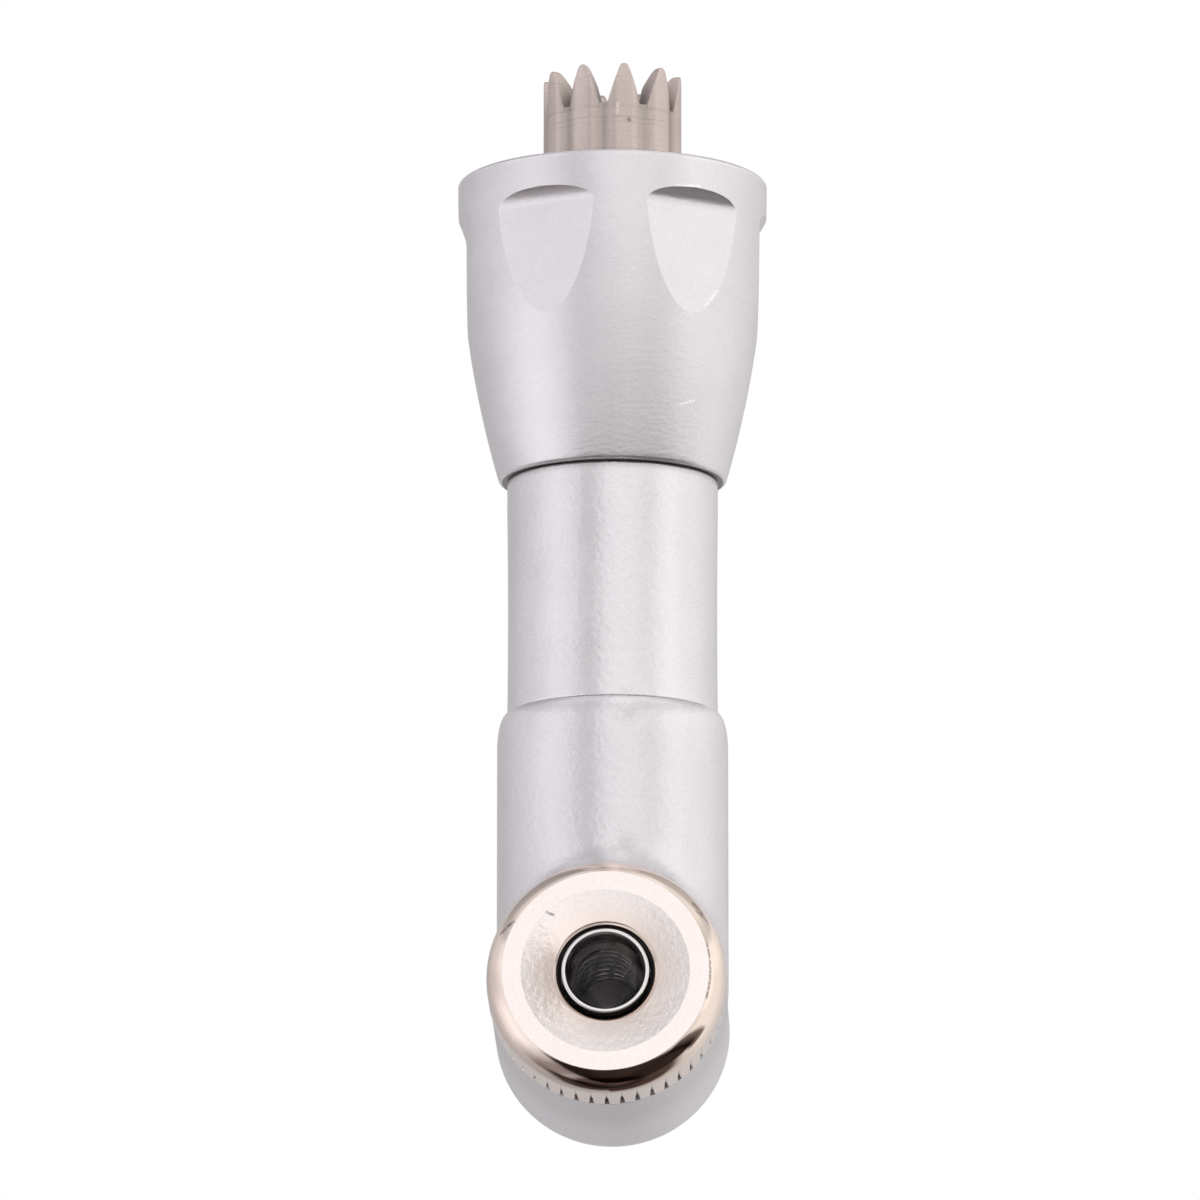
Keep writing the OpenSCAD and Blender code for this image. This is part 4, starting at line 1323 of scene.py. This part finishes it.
@dataclass
class FrontCap:
    """Plated cap: notched side, polished round edge, flat ring and a shallow satin dish."""

    cap_d: float = 10.12
    back: float = 6.25
    reach: float = 9.097
    edge_r: float = 1.34
    edge_turn: float = 60.0
    crest_r: float = 0.05
    thread_d: float = 8.8
    thread_front: float = 8.0
    notches: int = 48
    notch: float = 0.2
    notch_front: float = 0.04
    notch_open: float = 0.55
    dish_d: float = 7.14
    dish: float = 0.16
    bore_d: float = 4.16
    seal_d: float = 6.0
    seal_t: float = 0.45
    nose_d: float = 3.7

    def edge(self) -> Array:
        """Round edge: an arc from the side that ends before it lies level, then a small crest.

        Arc: radius = the cap's - edge_r (1 - cos t) and height = edge_r sin t. The crest turns the
        same way round a smaller circle, and the whole edge is then lifted to the cap's reach.

        Returns:
            Rows of radius and height, the first where the side ends and the last on the face.
        """
        turn = np.radians(np.concatenate([[0.0], np.linspace(3.0, self.edge_turn, 15)]))
        arc = np.stack([self.cap_d / 2 - self.edge_r * (1 - np.cos(turn)), self.edge_r * np.sin(turn)], 1)
        lean = math.radians(90 - self.edge_turn) * np.array([1.0, 0.66, 0.33, 0.0])
        ways = np.stack([np.sin(lean), np.cos(lean)], 1)
        rows = np.concatenate([arc, arc[-1] + self.crest_r * (ways[1:] - ways[0])])
        return rows + [0.0, self.reach - rows[-1, 1]]

    def side_rows(self) -> Array:
        """Notched side before its notches are cut, from the small rear bevel to the round edge.

        Returns:
            Rows of radius and height.
        """
        front = self.edge()[0, 1]
        z = np.concatenate([self.back + np.array([0.0, 0.03, 0.08, 0.12]),
                            np.linspace(self.back + 0.2, front - 0.12, 14),
                            front + np.array([-0.08, -0.04, 0.0])])
        bevel = np.clip((self.back + 0.1 - z) / 0.1, 0, 1)
        return np.stack([self.cap_d / 2 - 0.1 * bevel ** 1.5, z], axis=1)

    def side(self) -> Array:
        """Side with V notches that get shallower forwards; columns follow the notches' edges.

        Depth = notch less its slope times the way forward, and half width = a little over half the
        depth, so each notch is the mark of a sharp cutter sunk into the side.

        Returns:
            Grid of the side.
        """
        r, z = self.side_rows().T[..., None]
        depth = self.notch - (self.notch - self.notch_front) * (z - self.back) / (z[-1] - self.back)
        depth[z > z[-1] - 0.05] = 0.0
        half = (0.02 + self.notch_open * np.maximum(depth, self.notch_front)) / r
        step = np.pi / self.notches
        sector = both_sides(np.concatenate([0 * half, half * 0.5, half * 0.88, half * 1.12,
                                            half + (step - half) * 0.4, 0 * half + step], axis=1))
        sink = np.tile(np.clip(1 - np.abs(sector) / half, 0, 1) * depth, self.notches)
        starts = 2 * step * np.arange(self.notches)
        return polar(r - sink, (starts[:, None] + sector[:, None]).reshape(len(z), -1), z)

    def skin(self) -> Skin:
        """Whole cap: the notched side, then the turned edge, face, bore and inner thread.

        Returns:
            The cap, its face satin and its sides polished.
        """
        r, dish, bore = halves(self.cap_d, self.dish_d, self.bore_d)
        seat, thread = halves(self.seal_d, self.thread_d)
        top, back, front = self.reach, self.back, self.thread_front
        low, step = top - self.dish, front + self.seal_t
        edge, side = self.edge()[1:], self.side()
        face = rounded([(r, top, 0), (dish, top, 0.3), (bore + 0.12, low, 0.04), (bore, low - 0.1, 0.04),
                        (bore, step, 0.02), (seat, step, 0.02), (seat, front, 0.02), (thread, front, 0.03),
                        (thread, back, 0.05), (r - 0.1, back, 0), (r, back + 4, 0)])
        face = face[(face[:, 0] < edge[-1, 0] - 0.05) | (face[:, 1] < top - 1)]
        face = face[~((face[:, 0] > r - 0.2) & (face[:, 1] > back - 0.01))]
        rest = np.concatenate([edge, np.linspace(edge[-1] - [GUARD, 0.0], face[0], 4)[:-1], face])
        turn = np.arctan2(side[-1, :, 1], side[-1, :, 0])
        grid = np.concatenate([side, polar(rest[:, :1], turn, rest[:, 1:])])
        where, level = np.concatenate([self.side_rows(), rest]).T

        notched = np.arange(len(grid)) < len(side)
        lip = (where < bore + 0.14) & (level < low + 0.01)
        ring = (where > dish - 0.02) & (level > top - 0.001)
        dished = (where < dish + 0.2) & (level > low - 0.01)
        polish = np.select([lip, ring, notched, dished, level < top - 0.001],
                           [0.9, 0.35, 0.6, 0.75 * smoothstep(where, dish - 0.35, bore + 0.25), 1.0])
        # painted shade in the rear ends of the notches, and painted shade deepening down the bore's lip
        sunk = np.clip((r - np.linalg.norm(grid[..., :2], axis=-1)) / self.notch, 0, 1)
        behind = sunk * smoothstep(grid[..., 2], back + 0.9, back + 0.1) * notched[:, None]
        shade = np.maximum((lip * smoothstep(level, low - 0.1, top - 0.5))[:, None], behind)
        return Skin(grid, polish=polish, shade=0.9 * shade)

    def build(self, shop: Workshop) -> None:
        """Makes the cap and the seal ring behind its hole.

        Args:
            shop: makes and dresses the pieces.
        """
        axis = shop.axes[Axis.HEAD]
        shop.add("cap_shell", "front_cap", axis, self.skin())
        low, (nose, seat) = self.thread_front, halves(self.nose_d, self.seal_d)
        top = low + self.seal_t
        shop.turn("nose_seal", "spindle_seal", axis, [
            (nose + 0.04, low, 0.02), (seat, low, 0.03), (seat, top, 0.03), (nose + 0.18, top, 0.04),
            (nose + 0.03, top - 0.15, 0.03), (nose + 0.18, low + 0.12, 0.05)])


# ---- the spindle ----


@dataclass
class Spindle:
    """Hollow spindle: pivot, journal and nose, with the cup's thread wound inside its mouth."""

    nose_d: float = 3.7
    mouth_d: float = 3.2
    mouth_depth: float = 0.9
    mouth_bevel: float = 0.1
    socket_d: float = 2.6
    socket_len: float = 4.4
    pitch: float = 0.635
    thread_depth: float = 0.2
    thread_half: float = 0.26
    thread_flank: float = 0.22
    drill_angle: float = 59.0
    journal_d: float = 4.0
    journal_from: float = 3.0
    journal_to: float = 7.6
    tail_d: float = 2.2
    tail_from: float = 1.2
    pivot_d: float = 1.6
    pivot_from: float = -2.3
    reach: float = 9.097

    def skin(self) -> Skin:
        """Turned profile from the pivot's end to the drilled point, with the thread wound into it.

        In the thread, radius = the socket's + the thread's depth times wound().

        Returns:
            The spindle, its mouth polished and its inside shaded.
        """
        nose, mouth, socket = halves(self.nose_d, self.mouth_d, self.socket_d)
        journal, tail, pivot = halves(self.journal_d, self.tail_d, self.pivot_d)
        low, tail_z, top = self.pivot_from, self.tail_from, self.reach
        rear, fore, bevel = self.journal_from, self.journal_to, self.mouth_bevel
        end = top - self.mouth_depth - 0.3
        floor = end - self.socket_len
        tip = floor - socket / math.tan(math.radians(self.drill_angle))
        outer = rounded([
            (0, low, 0), (pivot, low, 0.12), (pivot, tail_z, 0.05), (tail, tail_z, 0.06), (tail, rear, 0.03),
            (journal, rear, 0.08), (journal, fore, 0.04), (nose, fore, 0.02), (nose, top, 0.06),
            (mouth + bevel, top, 0.02), (mouth, top - 2 * bevel, 0.05), (mouth, top - self.mouth_depth, 0.04),
            (socket, end, 0.02), (socket, floor, 0)], 7, closed=False)[:-2]
        thread = thread_rows(socket, end - 0.25, floor + 0.1)
        drill = [(socket, floor), (socket - 0.02, floor - 0.02), (0.4, tip + 0.24), (0.0, tip)]
        r, z = np.concatenate([outer, thread, drill]).T
        row = np.arange(len(z))
        ends = smoothstep(z, floor, floor + 0.3) * (1 - smoothstep(z, end - 0.35, end - 0.2))
        a = np.linspace(0, 2 * np.pi, 112, endpoint=False)
        groove = wound(z[:, None], a, self.pitch, self.thread_half, self.thread_flank)
        sunk = self.thread_depth * (ends * (row >= len(outer)))[:, None]
        points = polar(r[:, None] + sunk * groove, a, z[:, None])
        polish = np.where((r > mouth - 0.05) & (z > top - 1.0), 0.7, 0.0)
        # painted shade inside the hollow, with old grease: darkest just inside the mouth, lighter deeper down
        hollow = (r < mouth + bevel) & (z > floor - 1.0) & (row > np.argmax(z))
        shade = 0.8 * smoothstep(top - z, 0.0, 0.12) - 0.55 * smoothstep(top - z, 0.9, 1.6)
        return Skin(points, loop=False, polish=polish, shade=shade * hollow)

    def build(self, shop: Workshop) -> None:
        """Makes the spindle."""
        shop.add("spindle_shell", "spindle", shop.axes[Axis.HEAD], self.skin())


# ---- the drive ----


@dataclass
class Drive:
    """Drive shaft, its crown gear with ten pointed teeth, and the pin that crosses them."""

    crown_d: float = 6.0
    crown_bore_d: float = 4.2
    teeth: int = 10
    tooth_h: float = 1.73
    turn: float = -78.0
    crown_z: float = 4.5
    crown_top: float = 14.0
    boss_d: float = 3.9
    boss_z: float = 3.6
    shaft_d: float = 3.0
    stub_d: float = 1.8
    shaft_low: float = -25.65
    shoulder_z: float = -24.3
    shaft_top: float = 9.1
    pin_d: float = 1.0
    pin_z: float = 6.5
    pin_teeth: int = 2
    tip_r: float = 0.21
    tip_half: float = 70.0
    gap_half: float = 0.19
    flank_full: float = 0.24
    fillet: float = 0.03
    fillet_share: float = 0.06
    flute_depth: float = 0.17
    flute_half: float = 12.5
    sink_d: float = 5.2
    sink_slope: float = 1.5
    sink_soft: float = 0.25
    rim_round: float = 0.05
    across_tooth: tuple[float, ...] = (
        0, 0.9, 1.8, 2.7, 3.4, 4.0, 4.8, 6.0, 7.3, 8.6, 9.9, 11.2, 12.3, 13.2, 13.9, 14.3, 14.7, 15.4, 16.2,
        17.1, 18.0)

    def tooth_height(self, off: Array) -> Array:
        """Height of the rim over the gaps' floor, at an angle off a tooth's middle.

        The tip is an arc of radius tip_r; from there a slightly full flank falls to the floor, with a
        small fillet at its foot.

        Args:
            off: angles in radians.

        Returns:
            Heights.
        """
        s, lean = np.abs(off) * self.crown_d / 2, math.radians(self.tip_half)
        foot = math.pi * self.crown_d / 2 / self.teeth - self.gap_half
        reach, low = self.tip_r * math.sin(lean), self.tooth_h - self.tip_r * (1 - math.cos(lean))
        tip = self.tooth_h - self.tip_r + np.sqrt(np.maximum(self.tip_r ** 2 - s ** 2, 0))
        t = np.clip((s - reach) / (foot - reach), 0, 1)
        foot_share = np.maximum(t - 1 + self.fillet_share, 0) / self.fillet_share
        flank = low * (1 - t) + self.flank_full * t * (1 - t) + self.fillet * foot_share ** 2
        return np.where(s < reach, tip, np.where(s < foot, flank, 0.0))

    def under_sink(self, rim: Array, r: Array) -> Array:
        """Height of the rim where the inner countersink takes some of it off, the corner eased.

        Countersink = crown_top - slope (sink radius - r). The result is a soft minimum of it and the
        rim: the lesser one, less (soft - difference) squared wherever they differ by less than soft.

        Args:
            rim: heights of the rim.
            r: radii.

        Returns:
            Heights.
        """
        cone = self.crown_top - self.sink_slope * (self.sink_d / 2 - r)
        return np.minimum(cone, rim) - np.maximum(self.sink_soft - np.abs(cone - rim), 0.0) ** 2

    def crown(self) -> Skin:
        """Crown gear: a turned cup whose rim follows tooth_height() and whose outside is fluted.

        Flute: depth (1 + cos(pi b / half)) / 2 off the radius, b being the angle from a gap's middle
        and half the flute's half width.

        Returns:
            The gear.
        """
        sector = both_sides(np.radians([self.across_tooth]))[0]
        step, off = 2 * np.pi / self.teeth, np.tile(sector, self.teeth)
        a = np.radians(self.turn) + np.repeat(np.arange(self.teeth) * step, len(sector)) + off
        beside = np.clip(np.degrees(step / 2 - np.abs(off)) / self.flute_half, 0, 1)
        ro, ri, bore, boss = halves(self.crown_d, self.crown_bore_d, self.shaft_d, self.boss_d)
        z0, z1, soft = self.crown_z, self.boss_z, self.rim_round
        side = ro - self.flute_depth * (1 + np.cos(np.pi * beside)) / 2
        root = self.crown_top - self.tooth_h
        rim = root + self.tooth_height(off)
        low = rounded([(bore, z1, 0.05), (boss, z1, 0.05), (boss, z0, 0.03), (ro, z0, 0.15),
                       (ro, z0 + 3, 0), (ro - 1, z0 + 9, 0)])
        low = low[(low[:, 1] < z0 + 1) & ((low[:, 0] > bore + 0.001) | (low[:, 1] < z1 + 0.2))]
        share = np.concatenate([[0.0, 0.004, 0.012, 0.03], np.linspace(0.08, 1.0, 20)])[:, None]
        wall = z0 + 0.98 + (rim - soft - z0 - 0.98) * share
        turn = np.radians([30, 60, 90])[:, None]
        across = side - soft - (side - 2 * soft - ri) * np.linspace(0.06, 0.97, 14)[:, None]
        lip, back = self.under_sink(rim, ri + 0.02), turn - np.pi / 6
        floor = self.shaft_top - 0.3
        deep = np.linspace(0.02, 1.0, 12)[:, None]
        bed = rounded([(ri, floor + 1, 0), (ri, floor, 0.08), (bore, floor, 0.04), (bore, z1 + 0.2, 0)], 5)
        bed = bed[bed[:, 1] < floor + 0.085]
        grid = np.concatenate([polar(r, a, z) for r, z in (
            (low[:, :1], low[:, 1:]),
            (ro - (ro - side) * smoothstep(wall, z0 + 1.0, z0 + 1.1), wall),
            (side - soft * (1 - np.cos(turn)), rim - soft * (1 - np.sin(turn))),
            (across, self.under_sink(rim, across)),
            (ri + soft * (1 - np.sin(back)), lip - soft * (1 - np.cos(back))),
            (ri, lip - soft - (lip - soft - floor - 0.1) * deep),
            (bed[:, :1], bed[:, 1:]))])
        # painted shade in the tooth gaps and inside the rim, and lighter painted shade in the flutes
        wide, high = np.linalg.norm(grid[..., :2], axis=-1), grid[..., 2]
        inside = smoothstep(wide, ro + 0.15, ri + 0.3) * smoothstep(high, self.crown_top, root)
        fluted = 0.16 * smoothstep(ro - side, 0.0, 0.2) * (high < root + 0.1) * (high > z0 + 1.0)
        return Skin(grid, shade=np.maximum(0.8 * inside * (high > z0 + 2.0), fluted))

    def build(self, shop: Workshop) -> None:
        """Makes the gear, the shaft and the cross pin.

        Args:
            shop: makes and dresses the pieces.
        """
        axis = shop.axes[Axis.NECK]
        shop.add("crown_wheel", "crown_gear", axis, self.crown())
        shaft, stub, pin, long = halves(self.shaft_d, self.stub_d, self.pin_d, self.crown_d - 0.1)
        low, step, top = self.shaft_low, self.shoulder_z, self.shaft_top
        shop.turn("drive_rod", "drive_shaft", axis, [
            (0, low, 0), (stub, low, 0.08), (stub, step, 0.04), (shaft, step, 0.08), (shaft, top - 0.3, 0.05),
            (shaft - 0.3, top, 0.05), (0.35, top, 0.03), (0, top - 0.3, 0)], solid=True)
        lie = math.radians(self.turn + self.pin_teeth * 360 / self.teeth)
        across = placement_on((0, 0, self.pin_z), (math.cos(lie), math.sin(lie), 0))
        shop.turn("cross_peg", "cross_pin", across, [
            (0, -long, 0), (pin, -long, 0.08), (pin, long, 0.08), (0, long, 0)], columns=48, solid=True)


class Insides:
    """The pieces out of sight, which keep their solids and get their own finishes."""

    def build(self, shop: Workshop) -> None:
        """Dresses every solid that no skin stands for.

        Args:
            shop: dresses them.
        """
        for node in frame["nodes"]:
            if node not in shop.done:
                shop.dress(node)


# ---- studio ----


@dataclass
class Studio:
    """Camera, pale floor and soft light. A bright tent goes round the head, darker below it.

    Attributes:
        distance, azimuth, elevation: where the camera is, in millimetres and degrees.
        shift_across, shift_up: where it aims, in millimetres off the origin.
        lens: its focal length in millimetres.
        floor_z, floor_r, floor_rise: height, radius and rim of the floor, in metres.
        floor_glow: how much light the floor gives of its own.
        tent: compass angle and brightness of each point on the tent's wall.
        heights: angle of height and brightness.
        patches: compass angle, half width, height, half height and softness of each soft-edged
            window in degrees, and the share of the light that it lets through.
        lamps: name, place, size and power of each lamp.
    """

    distance: float = 500.0
    azimuth: float = 2.04
    elevation: float = -12.07
    shift_across: float = -0.543
    shift_up: float = -8.97
    lens: float = 346.35
    floor_z: float = -0.62
    floor_r: float = 6.0
    floor_rise: float = 0.9
    floor_glow: float = 0.27
    tent: tuple[tuple[float, float], ...] = (
        (-180, 0.56), (-143, 0.50), (-102, 0.66), (-66, 0.88), (-46, 0.78), (-24, 0.51), (-4, 0.97),
        (16, 1.19), (43, 0.80), (68, 0.98), (97, 0.97), (112, 0.90), (134, 0.76), (180, 0.56))
    heights: tuple[tuple[float, float], ...] = (
        (-90, 0.62), (-40, 0.8), (-16, 1.02), (12, 1.0), (24, 1.15), (31, 1.12), (37, 0.74), (90, 0.66))
    patches: tuple[tuple[float, float, float, float, float, Tone], ...] = (
        (24, 67, -57, 33, 7, (0.045, 0.031, 0.027)), (72, 30, -25, 8, 3, (0.20, 0.17, 0.16)),
        (-76, 36, -50, 12, 8, (0.46, 0.40, 0.39)), (140, 55, -58, 16, 7, (0.13, 0.09, 0.085)),
        (-142, 50, -65, 14, 7, (0.15, 0.11, 0.10)), (0, 190, -81, 15, 6, (0.17, 0.12, 0.11)),
        (17, 8, 27, 10, 4, (0.42, 0.40, 0.39)), (-74, 30, -12, 15, 7, (1.30, 1.30, 1.30)),
        (14, 22, -12, 13, 8, (0.62, 0.62, 0.62)), (-31, 12, -9, 12, 5, (1.35, 1.35, 1.35)),
        (0, 100, 62, 18, 7, (1.38, 1.38, 1.38)))
    lamps: tuple[tuple[str, Tone, float, float], ...] = (
        ("lamp_left", (-1.1, -1.0, 0.5), 1.0, 0.2), ("lamp_right", (1.3, -0.7, 0.3), 0.9, 0.25),
        ("lamp_top", (0.1, -0.2, 1.5), 1.1, 0.4))

    def place_camera(self) -> None:
        """Places the camera: back = (sin a cos e, -cos a cos e, sin e) from the aim point."""
        a, e = math.radians(self.azimuth), math.radians(self.elevation)
        right = np.array([math.cos(a), math.sin(a), 0.0])
        back = np.array([math.sin(a) * math.cos(e), -math.cos(a) * math.cos(e), math.sin(e)])
        up = np.cross(back, right)
        turn = np.eye(4)
        at = (self.shift_across * right + self.shift_up * up + self.distance * back) * MM
        turn[:3] = np.stack([right, up, back, at], axis=1)
        data = bpy.data.cameras.new("camera")
        data.sensor_width, data.lens, data.clip_start, data.clip_end = 36.0, self.lens, 0.02, 50.0
        bpy.context.scene.camera = show("camera", data)
        bpy.context.scene.camera.matrix_world = Matrix(turn.tolist())

    def floor(self) -> None:
        """Pale floor, a shallow dish that rises softly at its rim: height = rise (r / radius) to the 8th."""
        r = np.linspace(self.floor_r, 0.0, 25)
        points = turned(np.stack([r, self.floor_z + self.floor_rise * (r / self.floor_r) ** 8], axis=1), 72)
        mesh = mesh_from("studio_floor", points.reshape(-1, 3), round_quads(*points.shape[:2], closed=False),
                         np.empty((0, 3), int))
        material, s, shader, at = principled("studio_floor")
        pale = s.blend(s.noise(at, 3.0, 3.0), (0.93, 0.93, 0.93), (0.97, 0.97, 0.97))
        s.fill(shader, {"Base Color": pale, "Roughness": 0.8, "Emission Color": (1.0, 1.0, 1.0, 1.0),
                        "Emission Strength": self.floor_glow})
        mesh.materials.append(material)
        floor = show("studio_floor", mesh)
        floor.visible_glossy = False

    def surroundings(self) -> None:
        """Light from all round: a bright tent by compass angle, times a fall-off by height.

        The compass angle is 0 in front and 90 to the right. The tent's brightness at it is multiplied
        by the one at the height. Each patch, a soft-edged window about its aim, scales what it covers.
        """
        world = bpy.data.worlds.new("tent")
        bpy.context.scene.world = world
        world.use_nodes = True
        s = Sheet(world.node_tree)
        s.tree.nodes.clear()
        way = s.vector("NORMALIZE", s.node("ShaderNodeTexCoord").outputs["Generated"])
        east, north, rise = s.node("ShaderNodeSeparateXYZ", {0: way}).outputs
        compass = s.math("ARCTAN2", east, s.times(north, -1.0))
        walls = s.ramp(s.math("MULTIPLY_ADD", compass, 1 / (2 * math.pi), 0.5), [
            (at / 360 + 0.5, (v, v * 0.985, v * (1 - 0.025 * math.sin(math.radians(at)))))
            for at, v in self.tent])
        levels = s.ramp(s.math("MULTIPLY_ADD", rise, 0.5, 0.5), [
            (0.5 + 0.5 * math.sin(math.radians(at)), (v, v, v)) for at, v in self.heights])
        light, up_angle = s.vector("MULTIPLY", walls, levels), s.math("ARCSINE", rise)
        for at, wide, up, high, soft, left in self.patches:
            bands = []
            for angle, middle, half in ((compass, at, wide), (up_angle, up, high)):
                off = s.math("ABSOLUTE", s.math("SUBTRACT", angle, math.radians(middle)))
                bands.append(s.span(off, math.radians(half - soft), math.radians(half + soft), 1.0, 0.0))
            light = s.blend(s.times(*bands), light, s.vector("MULTIPLY", light, left))
        seen = s.node("ShaderNodeLightPath").outputs["Is Camera Ray"]
        shade = s.node("ShaderNodeBackground", {"Color": s.blend(seen, light, (1.0, 1.0, 1.0))})
        s.node("ShaderNodeOutputWorld", {"Surface": shade.outputs[0]})

    def light_lamps(self) -> None:
        """Broad soft lamps left and right of the camera and overhead, all aimed at the head."""
        for name, at, size, power in self.lamps:
            data = bpy.data.lights.new(name, "AREA")
            data.shape, data.size, data.energy = "DISK", size, power
            lamp = show(name, data)
            lamp.location, lamp.rotation_mode, lamp.visible_camera = at, "QUATERNION", False
            lamp.rotation_quaternion = (Vector((0, 0, -0.01)) - Vector(at)).to_track_quat("-Z", "Y")

    def build(self) -> None:
        """Sets the stage."""
        bpy.context.scene.view_settings.view_transform = "Standard"
        self.place_camera()
        self.floor()
        self.surroundings()
        self.light_lamps()


def main() -> None:
    """Builds the studio and every sub-assembly in order."""
    logging.basicConfig(level=logging.INFO, format="%(message)s")
    Studio().build()
    shop = Workshop()
    for part in (CouplingNut(), Neck(), HeadShell(), FrontCap(), Spindle(), Drive(), Insides()):
        part.build(shop)
        log.info("%s done", type(part).__name__)
    log.info("%d pieces made", len(shop.done))


if __name__ == "__main__":
    main()
